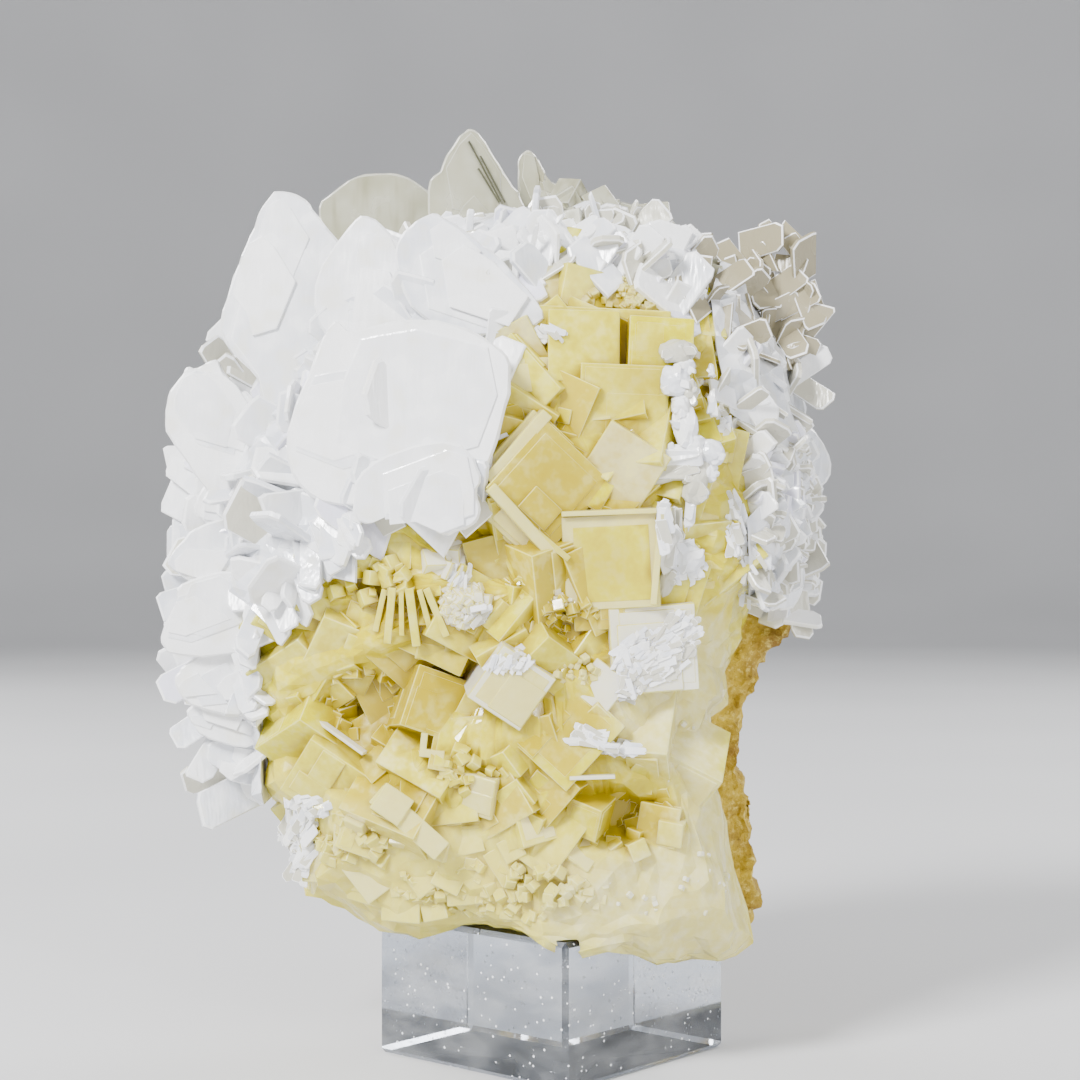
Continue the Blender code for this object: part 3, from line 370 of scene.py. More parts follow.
# Lobes of the sprig: x, y, z, half sizes along x, y and z, roll in degrees, and the kind
SPRIG_LOBES = (
    (14.9, -23.0, 88.4, 2.0, 1.3, 1.6, 10, "glass"), (15.8, -23.0, 86.6, 1.2, 1.1, 1.0, 0, "face"),
    (14.5, -23.4, 84.8, 1.8, 1.5, 1.9, -20, "face"), (16.2, -23.2, 83.4, 1.0, 1.1, 1.6, 0, "glass"),
    (15.3, -23.4, 81.9, 1.2, 1.3, 1.5, 0, "face"), (15.7, -23.3, 79.6, 1.6, 1.4, 2.6, -6, "face"),
    (16.6, -23.2, 77.2, 1.5, 1.3, 1.6, 0, "face"), (18.6, -22.8, 76.4, 1.8, 1.4, 1.5, 20, "face"),
    (13.9, -23.2, 75.9, 3.7, 1.0, 1.5, -4, "face"), (14.6, -23.3, 74.0, 3.4, 0.9, 0.8, -24, "glass"),
    (17.0, -23.0, 73.0, 1.5, 1.0, 3.0, 16, "glass"), (18.6, -22.6, 74.2, 1.0, 1.0, 1.4, 0, "face"),
    (16.4, -22.6, 70.0, 0.5, 0.7, 2.6, 6, "face"), (19.0, -21.9, 82.4, 0.45, 0.6, 1.8, 4, "face"),
    (18.9, -22.0, 86.2, 0.4, 0.6, 0.8, 0, "face"), (14.2, -22.4, 65.2, 1.2, 1.0, 2.6, 14, "face"),
    (16.0, -22.2, 64.0, 1.9, 1.0, 2.0, 30, "face"), (13.6, -22.4, 61.2, 1.0, 0.9, 2.2, 20, "glass"),
)

# Dark growth lines in the apex blade: x, y, z of the middle, half length and roll in degrees
STRIAE = ((-8.7, -2.1, 113.4, 4.4, 62), (-7.7, -2.0, 112.4, 3.4, 62), (-8.2, -2.05, 111.6, 2.6, 58))


def rim_at(rim, angle):
    """Distance from the centre to the rim and the rim's own depth, in the direction of angle."""
    ray = (math.cos(angle), math.sin(angle))
    for (xa, za, da), (xb, zb, db) in zip(rim, rim[1:] + rim[:1]):
        ax, az = xa - CENTRE_X, za - CENTRE_Z
        ex, ez = xb - xa, zb - za
        cross = ray[0] * ez - ray[1] * ex
        if abs(cross) < 1e-9:
            continue
        share = (ray[1] * ax - ray[0] * az) / cross
        distance = (ax * ez - az * ex) / cross
        if -1e-9 <= share <= 1 + 1e-9 and distance > 0:
            return distance, da + share * (db - da)
    return 1.0, 0.0


def bulge(fraction, rim_depth, reach):
    """Depth at a fraction of the way from the centre to the rim."""
    crown = (1 - min(fraction, 1) ** CROWN_FLATNESS) ** CROWN_ROUNDNESS
    return rim_depth + (reach - rim_depth) * crown


def hollow_depth(x, z):
    total = 0.0
    for hollow_x, hollow_z, half_x, half_z, depth in HOLLOWS:
        total += depth * math.exp(-((x - hollow_x) / half_x) ** 2 - ((z - hollow_z) / half_z) ** 2)
    return total


def front_depth(x, z):
    """How far the fluorite stands in front of y = 0 at x, z."""
    distance, rim_depth = rim_at(FRONT_RIM, math.atan2(z - CENTRE_Z, x - CENTRE_X))
    fraction = math.hypot(x - CENTRE_X, z - CENTRE_Z) / distance
    return bulge(fraction, rim_depth, FRONT_REACH) - hollow_depth(x, z)


def front_normal(x, z):
    """Outward direction of the smooth front surface at x, z."""
    step = 0.8
    slope_x = (front_depth(x + step, z) - front_depth(x - step, z)) / (2 * step)
    slope_z = (front_depth(x, z + step) - front_depth(x, z - step)) / (2 * step)
    return Vector((-slope_x, -1, -slope_z)).normalized()


def inside(x, z, field):
    result = False
    for (xa, za), (xb, zb) in zip(field, field[1:] + field[:1]):
        if (za > z) != (zb > z) and x < xa + (z - za) * (xb - xa) / (zb - za):
            result = not result
    return result


def points_in(field, spacing, rng):
    """Seeded places over a field, no two nearer than spacing."""
    low_x, high_x = min(p[0] for p in field), max(p[0] for p in field)
    low_z, high_z = min(p[1] for p in field), max(p[1] for p in field)
    kept = {}
    area = (high_x - low_x) * (high_z - low_z)
    for _ in range(int(PLACE_TRIES * area / spacing ** 2)):
        x, z = rng.uniform(low_x, high_x), rng.uniform(low_z, high_z)
        key = (int(x // spacing), int(z // spacing))
        near = [kept.get((key[0] + i, key[1] + j)) for i in (-1, 0, 1) for j in (-1, 0, 1)]
        if any(p and math.hypot(p[0] - x, p[1] - z) < spacing for p in near):
            continue
        if inside(x, z, field):
            kept[key] = (x, z)
    return list(kept.values())


def solid(points, faces, kinds=None):
    """An unlinked object from points in millimetres; its faces are turned outwards."""
    mesh = bpy.data.meshes.new("shape")
    mesh.from_pydata([(x * MM, y * MM, z * MM) for x, y, z in points], [], faces)
    shape = bmesh.new()
    shape.from_mesh(mesh)
    for face, kind in zip(shape.faces, kinds or ()):
        face.material_index = kind
    bmesh.ops.recalc_face_normals(shape, faces=shape.faces)
    bmesh.ops.triangulate(shape, faces=shape.faces)
    shape.to_mesh(mesh)
    shape.free()
    for _ in range(len(KINDS) * SHADES):
        mesh.materials.append(None)
    return bpy.data.objects.new("shape", mesh)


def kind_index(kind, shade=0):
    return KINDS.index(kind) * SHADES + shade


def discard(item):
    mesh = item.data
    bpy.data.objects.remove(item, do_unlink=True)
    bpy.data.meshes.remove(mesh)


def boolean(target, tools, operation):
    """Join the tools to target, or cut with them, in one step."""
    if target.name not in bpy.context.scene.collection.objects:
        bpy.context.scene.collection.objects.link(target)
    pile = bpy.data.collections.new("pile")
    for tool in tools:
        pile.objects.link(tool)
    change = target.modifiers.new("join", "BOOLEAN")
    change.operation = operation
    change.solver = "MANIFOLD"
    change.operand_type = "COLLECTION"
    change.collection = pile
    graph = bpy.context.evaluated_depsgraph_get()
    result = bpy.data.meshes.new_from_object(target.evaluated_get(graph))
    target.modifiers.clear()
    target.data = result
    for tool in tools:
        discard(tool)
    bpy.data.collections.remove(pile)
    return target


def ring_faces(rings, count):
    """Side faces between rings of count points, then a cap on each end."""
    faces = []
    for ring in range(rings - 1):
        for index in range(count):
            here = ring * count + index
            beside = ring * count + (index + 1) % count
            faces.append((here, beside, beside + count, here + count))
    faces.append(tuple(range(count)))
    faces.append(tuple(range((rings - 1) * count, rings * count)))
    return faces


def cube(place, edge, angles, kind="face", shade=0):
    """A cube given by the middle of its front face."""
    turn = turned(angles)
    half = edge / 2
    return box(Vector(place) + turn @ Vector((0, half, 0)), turn, (half, half, half), kind, shade)


def turned(angles):
    """Turn by yaw, pitch and roll in degrees."""
    turn = Matrix.Rotation(math.radians(angles[0]), 3, "Z")
    turn = turn @ Matrix.Rotation(math.radians(angles[1]), 3, "X")
    return turn @ Matrix.Rotation(math.radians(angles[2]), 3, "Y")


def box(middle, turn, half, kind="face", shade=0):
    """A box whose narrow chamfers, of kind 'edge', are painted lighter as highlight and show as thin light
    edges.
    """
    chamfer = min(CHAMFER, 0.16 * min(half))
    bits = (4, 2, 1)
    points = []
    for corner in range(8):
        signs = [1 if corner & bit else -1 for bit in bits]
        for axis in range(3):
            place = [signs[i] * (half[i] - (0 if i == axis else chamfer)) for i in range(3)]
            points.append(middle + turn @ Vector(place))
    flat, edge = kind_index(kind, shade), kind_index("edge", shade)
    faces, kinds = [], []
    for axis in range(3):
        i, j = [k for k in range(3) if k != axis]
        for side in (0, bits[axis]):
            ring = (side, side | bits[i], side | bits[i] | bits[j], side | bits[j])
            faces.append(tuple(3 * corner + axis for corner in ring))
            kinds.append(flat)
        for start in (0, bits[i], bits[j], bits[i] | bits[j]):
            end = start | bits[axis]
            faces.append((3 * start + i, 3 * start + j, 3 * end + j, 3 * end + i))
            kinds.append(edge)
    for corner in range(8):
        faces.append((3 * corner, 3 * corner + 1, 3 * corner + 2))
        kinds.append(edge)
    return solid(points, faces, kinds)


def stepped_cube(place, edge, angles, rng, steps, kind="face", inner=None):
    """A cube with thin growth steps on its faces and perhaps a clearer square inside the front one."""
    turn = turned(angles)
    half = edge / 2
    middle = Vector(place) + turn @ Vector((0, half, 0))
    shade = rng.randrange(SHADES)
    shapes = [box(middle, turn, (half, half, half), kind, shade)]
    if inner:
        spread = half * rng.uniform(0.78, 0.86)
        shift = [(half - spread) * rng.uniform(-0.6, 0.6) for _ in range(2)]
        offset = Vector((shift[0], -0.5 * half - edge * 0.006, shift[1]))
        shapes.append(box(middle + turn @ offset, turn, (spread, half * 0.5, spread), inner, shade))
    for _ in range(steps):
        axis = rng.choice((0, 1, 1, 2))
        rise = edge * rng.uniform(0.006, 0.028)
        spread = [half * rng.uniform(0.3, 0.8) for _ in range(3)]
        offset = [(half - spread[i]) * rng.choice((-1, 1)) * rng.uniform(0.3, 0.93) for i in range(3)]
        side = -1 if axis == 1 else rng.choice((-1, 1))
        spread[axis] = half * 0.5
        offset[axis] = side * (half * 0.5 + rise)
        step_shade = rng.randrange(SHADES)
        shapes.append(box(middle + turn @ Vector(offset), turn, spread, inner or kind, step_shade))
    return shapes


def lump(place, radii, angles, rng, kind, finer):
    """A rounded, slightly uneven lobe."""
    ball = bmesh.new()
    bmesh.ops.create_icosphere(ball, subdivisions=finer, radius=1)
    turn = turned(angles)
    shift = Vector([rng.uniform(-50, 50) for _ in range(3)])
    points = []
    for vert in ball.verts:
        uneven = 1 + 0.3 * noise.noise(vert.co * 1.2 + shift) + 0.1 * noise.noise(vert.co * 4 + shift)
        points.append(Vector(place) + turn @ Vector([c * r * uneven for c, r in zip(vert.co, radii)]))
    faces = [[vert.index for vert in face.verts] for face in ball.faces]
    ball.free()
    return solid(points, faces, [kind_index(kind, rng.randrange(SHADES))] * len(faces))


def radial_body(rim, side, reach, plane, rough, grow=0.0, grain=0.0):
    """A closed lump from the rim to a crown at -Y (side -1) or +Y (side 1), with a flat back."""
    fractions = [math.sin(math.pi / 2 * (1 - step / CROWN_SHARES)) for step in range(CROWN_RINGS)]
    points = []
    for fraction in fractions:
        for index in range(SPOKES):
            angle = 2 * math.pi * index / SPOKES
            distance, rim_depth = rim_at(rim, angle)
            x = CENTRE_X + math.cos(angle) * distance * fraction
            z = CENTRE_Z + math.sin(angle) * distance * fraction
            depth = bulge(fraction, rim_depth, reach)
            if side < 0:
                depth -= hollow_depth(x, z)
            place = Vector((x, side * depth, z))
            if fraction < 1:
                broad = noise.noise_vector(place * BROAD_WAVE)
                fine = noise.noise_vector(place * FINE_WAVE) / 3
                place += (broad + fine) * rough
            if grain:
                place += noise.noise_vector(place * GRAIN_WAVE) * grain
            out = Vector((math.cos(angle) * fraction, side * (1.02 - fraction), math.sin(angle) * fraction))
            points.append(place + out.normalized() * grow)
    crown = len(points)
    points.append((CENTRE_X, side * (reach + grow), CENTRE_Z))
    back = len(points)
    points += [(points[index][0], plane, points[index][2]) for index in range(SPOKES)]
    hub = len(points)
    points.append((CENTRE_X, plane, CENTRE_Z))
    rows = []
    for ring in range(len(fractions) - 1):
        for index in range(SPOKES):
            here = ring * SPOKES + index
            beside = ring * SPOKES + (index + 1) % SPOKES
            rows.append((here, beside, beside + SPOKES, here + SPOKES))
    last = (len(fractions) - 1) * SPOKES
    for index in range(SPOKES):
        after = (index + 1) % SPOKES
        rows.append((last + index, last + after, crown))
        rows.append((index, after, back + after, back + index))
        rows.append((back + index, back + after, hub))
    return solid(points, rows)


def prism(field, near, far):
    count = len(field)
    points = [(x, near, z) for x, z in field] + [(x, far, z) for x, z in field]
    return solid(points, ring_faces(2, count))


def smooth_outline(outline, steps):
    """More points on a curve through the outline's points."""
    count = len(outline)
    points = []
    for index in range(count):
        a, b, c, d = (Vector(outline[(index + shift) % count]) for shift in (-1, 0, 1, 2))
        for step in range(steps):
            t = step / steps
            even = (a * 2 - b * 5 + c * 4 - d) * t ** 2
            odd = (b * 3 - a - c * 3 + d) * t ** 3
            points.append((b * 2 + (c - a) * t + even + odd) / 2)
    return points


def blade(row, shift=0.0, shrink=1.0, shade=0):
    """A plate with the row's outline, sloping in y, with a bevelled rim and slightly ragged edge."""
    depth, slope_x, slope_z, thickness, outline = row
    mid = sum((Vector(p) for p in outline), Vector((0, 0))) / len(outline)
    curve = smooth_outline(outline, 3)
    points = []
    for inset, y_share in ((BLADE_RIM, 0.0), (0.0, 0.2), (0.0, 0.8), (BLADE_RIM, 1.0)):
        for place in curve:
            flat = mid + (place - mid) * shrink
            reach = (flat - mid).length
            flat = mid + (flat - mid) * (1 - inset / max(reach, BLADE_RIM * 2))
            ragged = noise.noise_vector(Vector((flat.x, flat.y, depth + shift)) * 0.9) * BLADE_RAGGED
            x, z = flat.x + ragged.x, flat.y + ragged.z
            y = depth + shift + slope_x * (x - mid.x) + slope_z * (z - mid.y) + thickness * y_share
            points.append((x, y, z))
    return solid(points, ring_faces(4, len(curve)), plate_kinds(len(curve), "face", shade))


def plate_kinds(count, kind, shade):
    """Kinds for a plate of four rings: both bevels are edges, painted lighter as highlight, and its flats and
    its side are kind.
    """
    edge = [kind_index("edge", shade)] * count
    flat = [kind_index(kind, shade)] * count
    return edge + flat + edge + flat[:2]


def terraces(row, count, rng):
    """Thin growth steps lying on a plate's front, with straight edges."""
    depth, slope_x, slope_z, thickness, outline = row
    mid = sum((Vector(p) for p in outline), Vector((0, 0))) / len(outline)
    shapes = []
    for step in range(1, count + 1):
        anchor = Vector(rng.choice(outline))
        shrink = rng.uniform(0.35, 0.85)
        corners = [anchor + (Vector(p) - anchor) * shrink for p in outline[::2]]
        centre = sum(corners, Vector((0, 0))) / len(corners)
        rise = rng.uniform(0.08, 0.22) * step
        points = []
        for inset, y in ((0.97, -rise), (1.0, -rise + 0.06), (1.0, thickness * 0.4)):
            for corner in corners:
                flat = centre + (corner - centre) * inset
                flat = mid + (flat - mid) * 0.94
                slope = slope_x * (flat.x - mid.x) + slope_z * (flat.y - mid.y)
                points.append((flat.x, depth + slope + y, flat.y))
        edge = [kind_index("edge")] * len(corners)
        flat = [kind_index("face", step % SHADES)] * len(corners)
        shapes.append(solid(points, ring_faces(3, len(corners)), edge + flat + flat[:2]))
    return shapes


# Outline of a small blade: shares of its length and of its width
TABLET = ((-0.4, -0.5), (0.84, -0.5), (1.0, -0.3), (1.0, 0.36), (0.88, 0.5), (-0.4, 0.5))


def tablet(root, direction, normal, length, width, thickness, rng, kind="face"):
    """A small squarish blade standing at root along direction, with its flat side along normal."""
    along = Vector(direction).normalized()
    across = along.cross(Vector(normal))
    if across.length < 0.05:
        across = along.cross(Vector((0.3, 0.5, 0.8)))
    across.normalize()
    flat = across.cross(along)
    lean = rng.uniform(-0.25, 0.25)
    outline = [(u + lean * v + rng.uniform(-0.05, 0.05), v + rng.uniform(-0.05, 0.05)) for u, v in TABLET]
    points = []
    for inset, side in ((0.93, -0.5), (1.0, -0.3), (1.0, 0.3), (0.93, 0.5)):
        for u, v in outline:
            u_in = 0.3 + (u - 0.3) * inset
            level = Vector(root) + along * u_in * length
            points.append(level + across * v * inset * width + flat * side * thickness)
    kinds = plate_kinds(len(TABLET), kind, rng.randrange(SHADES))
    return solid(points, ring_faces(4, len(TABLET)), kinds)


def side_point(angle, y):
    """The place on the specimen's side in the direction of angle, at y."""
    if y < SPLIT_Y:
        rim, reach, depth = FRONT_RIM, FRONT_REACH, -y
    else:
        rim, reach, depth = BACK_RIM, BACK_REACH, y
    distance, rim_depth = rim_at(rim, angle)
    fraction = 1.0
    if depth > rim_depth:
        share = (depth - rim_depth) / (reach - rim_depth)
        fraction = (1 - share ** (1 / CROWN_ROUNDNESS)) ** (1 / CROWN_FLATNESS)
    return Vector((
        CENTRE_X + math.cos(angle) * distance * fraction, y,
        CENTRE_Z + math.sin(angle) * distance * fraction))


def cut_at_block(item):
    """Open the underside where the block's top stands."""
    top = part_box("acrylic_block")[1].z / MM + BLOCK_GAP
    turn = Matrix.Rotation(math.radians(BLOCK_TURN), 3, "Z")
    half = BLOCK_EDGE / 2 + BLOCK_GAP
    cutter = box(Vector((0, 0, top - CUT_HALF)), turn, (half, half, CUT_HALF))
    return boolean(item, [cutter], "DIFFERENCE")


def roughen(item, height_at):
    """Move each point along its normal by height_at(place), both in millimetres."""
    normals = [Vector(normal.vector) for normal in item.data.vertex_normals]
    places = [vertex.co.copy() for vertex in item.data.vertices]
    moved = [place + normal * height_at(place / MM) * MM for place, normal in zip(places, normals)]
    item.data.vertices.foreach_set("co", np.array(moved, np.float32).ravel())
    item.data.update()


def split_long_edges(item, limit):
    shape = bmesh.new()
    shape.from_mesh(item.data)
    bmesh.ops.triangulate(shape, faces=shape.faces)
    for _ in range(4):
        long_edges = [edge for edge in shape.edges if edge.calc_length() > limit * MM]
        if not long_edges:
            break
        bmesh.ops.subdivide_edges(shape, edges=long_edges, cuts=1)
        bmesh.ops.triangulate(shape, faces=shape.faces)
    shape.to_mesh(item.data)
    shape.free()


def hemisphere(count):
    """Directions spread over the half space round +Z."""
    directions = []
    for index in range(count):
        height = 0.25 + 0.75 * (index + 0.5) / count
        turn = index * GOLDEN_TURN
        flat = math.sqrt(1 - height ** 2)
        directions.append(Vector((flat * math.cos(turn), flat * math.sin(turn), height)))
    return directions


def keep_kinds(item):
    """Turn the material indices into one face attribute for each kind, and one for the shade."""
    mesh = item.data
    index = np.zeros(len(mesh.polygons), np.int32)
    mesh.polygons.foreach_get("material_index", index)
    kinds = index // SHADES
    for number, kind in enumerate(KINDS):
        if kind != "body" and (kinds == number).any():
            values = (kinds == number).astype(np.float32)
            mesh.attributes.new(kind, "FLOAT", "FACE").data.foreach_set("value", values)
    shades = (index % SHADES / (SHADES - 1)).astype(np.float32)
    mesh.attributes.new("shade", "FLOAT", "FACE").data.foreach_set("value", shades)
    mesh.polygons.foreach_set("material_index", np.zeros(len(index), np.int32))


def drop_loose(item):
    """Keep only the largest connected body."""
    shape = bmesh.new()
    shape.from_mesh(item.data)
    seen, islands = set(), []
    for start in shape.verts:
        if start in seen:
            continue
        seen.add(start)
        stack, group = [start], []
        while stack:
            vert = stack.pop()
            group.append(vert)
            for edge in vert.link_edges:
                other = edge.other_vert(vert)
                if other not in seen:
                    seen.add(other)
                    stack.append(other)
        islands.append(group)
    islands.sort(key=len)
    bmesh.ops.delete(shape, geom=[vert for group in islands[:-1] for vert in group], context="VERTS")
    shape.to_mesh(item.data)
    shape.free()


def mark_hollows(item, reach):
    """Store in 'hollow' how much of the view from each point is shut off within reach, for painted shade."""
    mesh = item.data
    tree = BVHTree.FromPolygons([v.co for v in mesh.vertices], [p.vertices for p in mesh.polygons])
    fan = hemisphere(HOLLOW_RAYS)
    values = np.zeros(len(mesh.vertices), np.float32)
    for index, vertex in enumerate(mesh.vertices):
        normal = vertex.normal
        turn = normal.to_track_quat("Z", "Y").to_matrix()
        start = vertex.co + normal * 0.02 * MM
        hits = 0.0
        for direction in fan:
            _, _, _, distance = tree.ray_cast(start, turn @ direction, reach * MM)
            if distance is not None:
                hits += 1 - 0.5 * distance / (reach * MM)
        values[index] = hits / HOLLOW_RAYS
    mesh.attributes.new("hollow", "FLOAT", "POINT").data.foreach_set("value", values)


def mark(item, name, value_at):
    """Store value_at(x, y, z), in millimetres, on each point."""
    values = np.array([value_at(*(v.co / MM)) for v in item.data.vertices], np.float32)
    item.data.attributes.new(name, "FLOAT", "POINT").data.foreach_set("value", values)


def field_share(x, z, field, soft):
    """1 inside a field, 0 outside, mixed by sampling near its edge."""
    inside_count = 0
    for dx, dz in ((0, 0), (soft, 0), (-soft, 0), (0, soft), (0, -soft)):
        inside_count += inside(x + dx, z + dz, field)
    return inside_count / 5


def put(item, name, material, slot, *nodes):
    """Name a finished piece, give it its material and let it ride."""
    keep_kinds(item)
    item.name = name
    item.data.name = name
    item.data.materials.clear()
    item.data.materials.append(material)
    if item.name not in bpy.context.scene.collection.objects:
        bpy.context.scene.collection.objects.link(item)
    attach(item, "root")
    if nodes:
        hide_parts(*nodes)
    return item


class Shader:
    """Short calls for building one node material."""

    def __init__(self, name):
        self.material = bpy.data.materials.new(name)
        self.material.use_nodes = True
        self.tree = self.material.node_tree
        self.main = self.tree.nodes["Principled BSDF"]
        self.output = self.tree.nodes["Material Output"]
        self.place = self.node("ShaderNodeTexCoord").outputs["Object"]

    def node(self, kind, **values):
        item = self.tree.nodes.new(kind)
        for key, value in values.items():
            setattr(item, key, value)
        return item

    def link(self, source, target):
        self.tree.links.new(source, target)

    def set(self, **values):
        for key, value in values.items():
            self.main.inputs[key.replace("_", " ")].default_value = value

    def attribute(self, name):
        return self.node("ShaderNodeAttribute", attribute_name=name).outputs["Fac"]

    def noise(self, scale, detail=3.0, roughness=0.55, stretch=None, distortion=0.0):
        """Noise with scale in cells for each millimetre."""
        item = self.node("ShaderNodeTexNoise")
        item.inputs["Scale"].default_value = scale / MM
        item.inputs["Detail"].default_value = detail
        item.inputs["Roughness"].default_value = roughness
        item.inputs["Distortion"].default_value = distortion
        self.link(self.stretched(stretch), item.inputs["Vector"])
        return item.outputs["Fac"]

    def cells(self, scale, feature="F1", stretch=None, output="Distance"):
        item = self.node("ShaderNodeTexVoronoi", feature=feature)
        item.inputs["Scale"].default_value = scale / MM
        self.link(self.stretched(stretch), item.inputs["Vector"])
        return item.outputs[output]

    def stretched(self, stretch):
        if not stretch:
            return self.place
        item = self.node("ShaderNodeMapping")
        item.inputs["Scale"].default_value = stretch
        self.link(self.place, item.inputs["Vector"])
        return item.outputs["Vector"]

    def span(self, value, low, high, start=0.0, end=1.0):
        """Map value from low..high to start..end, clamped."""
        item = self.node("ShaderNodeMapRange")
        for key, number in (("From Min", low), ("From Max", high), ("To Min", start), ("To Max", end)):
            item.inputs[key].default_value = number
        self.link(value, item.inputs["Value"])
        return item.outputs["Result"]

    def maths(self, operation, a, b):
        item = self.node("ShaderNodeMath", operation=operation, use_clamp=True)
        for index, value in enumerate((a, b)):
            if isinstance(value, (int, float)):
                item.inputs[index].default_value = value
            else:
                self.link(value, item.inputs[index])
        return item.outputs[0]

    def mix(self, factor, a, b):
        item = self.node("ShaderNodeMix", data_type="RGBA")
        self.link(factor, item.inputs["Factor"])
        for key, value in (("A", a), ("B", b)):
            socket = [s for s in item.inputs if s.name == key and s.type == "RGBA"][0]
            if isinstance(value, tuple):
                socket.default_value = (*value, 1)
            else:
                self.link(value, socket)
        return [s for s in item.outputs if s.type == "RGBA"][0]

    def bump(self, height, distance, strength=1.0, under=None):
        item = self.node("ShaderNodeBump")
        item.inputs["Strength"].default_value = strength
        item.inputs["Distance"].default_value = distance * MM
        self.link(height, item.inputs["Height"])
        if under is not None:
            self.link(under, item.inputs["Normal"])
        return item.outputs["Normal"]

    def absorb(self, colour, density):
        item = self.node("ShaderNodeVolumeAbsorption")
        item.inputs["Color"].default_value = (*colour, 1)
        item.inputs["Density"].default_value = density
        self.link(item.outputs["Volume"], self.output.inputs["Volume"])

    def finish(self, colour, roughness=None, normal=None):
        self.link(colour, self.main.inputs["Base Color"])
        if roughness is not None:
            self.link(roughness, self.main.inputs["Roughness"])
        if normal is not None:
            self.link(normal, self.main.inputs["Normal"])
        return self.material


def fluorite_material():
    s = Shader("fluorite_yellow")
    s.set(Subsurface_Weight=0.5, Subsurface_Radius=(0.9, 0.85, 0.1), Subsurface_Scale=0.0026,
          Transmission_Weight=0.15, IOR=1.434)
    hollow = s.attribute("hollow")
    cloud = s.noise(0.16, 1)
    veil = s.noise(0.5, 2, 0.65)
    yellow = s.mix(s.span(cloud, 0.35, 0.65), (0.74, 0.62, 0.0), (0.80, 0.71, 0.04))
    yellow = s.mix(s.maths("MULTIPLY", s.attribute("face"), 0.7), yellow, (0.80, 0.725, 0.07))
    yellow = s.mix(s.attribute("lemon"), yellow, (0.80, 0.735, 0.0))
    yellow = s.mix(s.attribute("deep"), yellow, (0.64, 0.50, 0.0))
    # In the fluorite this kind is its own frosted beige; only in the barite is it painted shade.
    yellow = s.mix(s.maths("MULTIPLY", s.attribute("beige"), 0.85), yellow, (0.68, 0.61, 0.36))
    yellow = s.mix(s.maths("MULTIPLY", s.attribute("shade"), 0.3), yellow, (0.86, 0.77, 0.24))
    yellow = s.mix(s.span(veil, 0.5, 0.66, 0, 0.45), yellow, (0.88, 0.82, 0.30))
    yellow = s.mix(s.span(veil, 0.5, 0.34, 0, 0.4), yellow, (0.62, 0.48, 0.0))
    # Painted shade: darker gold in recesses, where rays from a point are shut in (hollow), and over the deep
    # spots (depths).
    painted_recess_shade = s.maths("ADD", s.span(hollow, 0.16, 0.6), s.maths("MULTIPLY", s.attribute("depths"), 0.5))
    yellow = s.mix(painted_recess_shade, yellow, (0.45, 0.335, 0.0))
    yellow = s.mix(s.maths("MULTIPLY", s.attribute("pale"), 0.5), yellow, (0.84, 0.76, 0.24))
    cream = s.mix(s.span(veil, 0.4, 0.7), (0.80, 0.72, 0.24), (0.87, 0.81, 0.42))
    colour = s.mix(s.attribute("cream"), yellow, cream)
    colour = s.mix(s.maths("MULTIPLY", s.attribute("coat"), 0.6), colour, (0.86, 0.80, 0.40))
    # Painted highlight: the chamfers and bevels (edge) are made lighter.
    colour = s.mix(s.maths("MULTIPLY", s.attribute("edge"), 0.35), colour, (0.90, 0.87, 0.45))
    # The 'bright' kind is pale white: the plates and druse have that colour, and on the thin bars along rims
    # it is painted highlight.
    colour = s.mix(s.maths("MULTIPLY", s.attribute("bright"), 0.8), colour, (0.90, 0.88, 0.76))
    colour = s.mix(s.maths("MULTIPLY", s.attribute("glass"), 0.8), colour, (0.85, 0.84, 0.86))
    colour = s.mix(s.attribute("dark"), colour, (0.04, 0.03, 0.01))
    roughness = s.span(veil, 0.35, 0.7, 0.07, 0.26)
    roughness = s.maths("ADD", roughness, s.maths("MULTIPLY", s.attribute("beige"), 0.25))
    s.absorb((0.97, 0.88, 0.06), 60)
    return s.finish(colour, roughness)


def barite_material():
    s = Shader("barite_white")
    s.set(IOR=1.64)
    cloud = s.noise(0.3, 1)
    colour = s.mix(s.attribute("shade"), (0.70, 0.72, 0.77), (0.92, 0.92, 0.92))
    colour = s.mix(s.span(cloud, 0.45, 0.7, 0, 0.6), colour, (0.95, 0.95, 0.95))
    colour = s.mix(s.span(cloud, 0.44, 0.3, 0, 0.35), colour, (0.80, 0.77, 0.62))
    colour = s.mix(s.maths("MULTIPLY", s.attribute("glass"), 0.8), colour, (0.50, 0.475, 0.35))
    # Painted shade: the blades behind the upper right (the beige kind) are made dark brown.
    colour = s.mix(s.maths("MULTIPLY", s.attribute("beige"), 0.92), colour, (0.27, 0.23, 0.12))
    colour = s.mix(s.maths("MULTIPLY", s.attribute("lilac"), 0.7), colour, (0.74, 0.73, 0.86))
    # Painted highlight: the bevels (edge) are made nearly white.
    colour = s.mix(s.maths("MULTIPLY", s.attribute("edge"), 0.7), colour, (0.97, 0.97, 0.97))
    roughness = s.span(cloud, 0.3, 0.7, 0.08, 0.34)
    streak = s.bump(s.noise(1.6, 1, 0.6, (1, 1, 0.16)), 0.15, 0.5)
    return s.finish(colour, roughness, streak)


def clear_barite_material(name, low, high):
    s = Shader(name)
    s.set(Transmission_Weight=0.5, IOR=1.64)
    cloud = s.noise(0.22, 2)
    colour = s.mix(s.span(cloud, 0.3, 0.7), low, high)
    colour = s.mix(s.span(s.noise(0.5, 2, 0.6, (1, 1, 0.2)), 0.52, 0.7, 0, 0.5), colour, (0.36, 0.33, 0.18))
    # Painted highlight: the bevels (edge) are made pale.
    colour = s.mix(s.maths("MULTIPLY", s.attribute("edge"), 0.6), colour, (0.90, 0.90, 0.82))
    colour = s.mix(s.attribute("dark"), colour, (0.10, 0.10, 0.05))
    roughness = s.span(cloud, 0.3, 0.7, 0.08, 0.3)
    s.absorb((0.88, 0.86, 0.66), 35)
    return s.finish(colour, roughness)


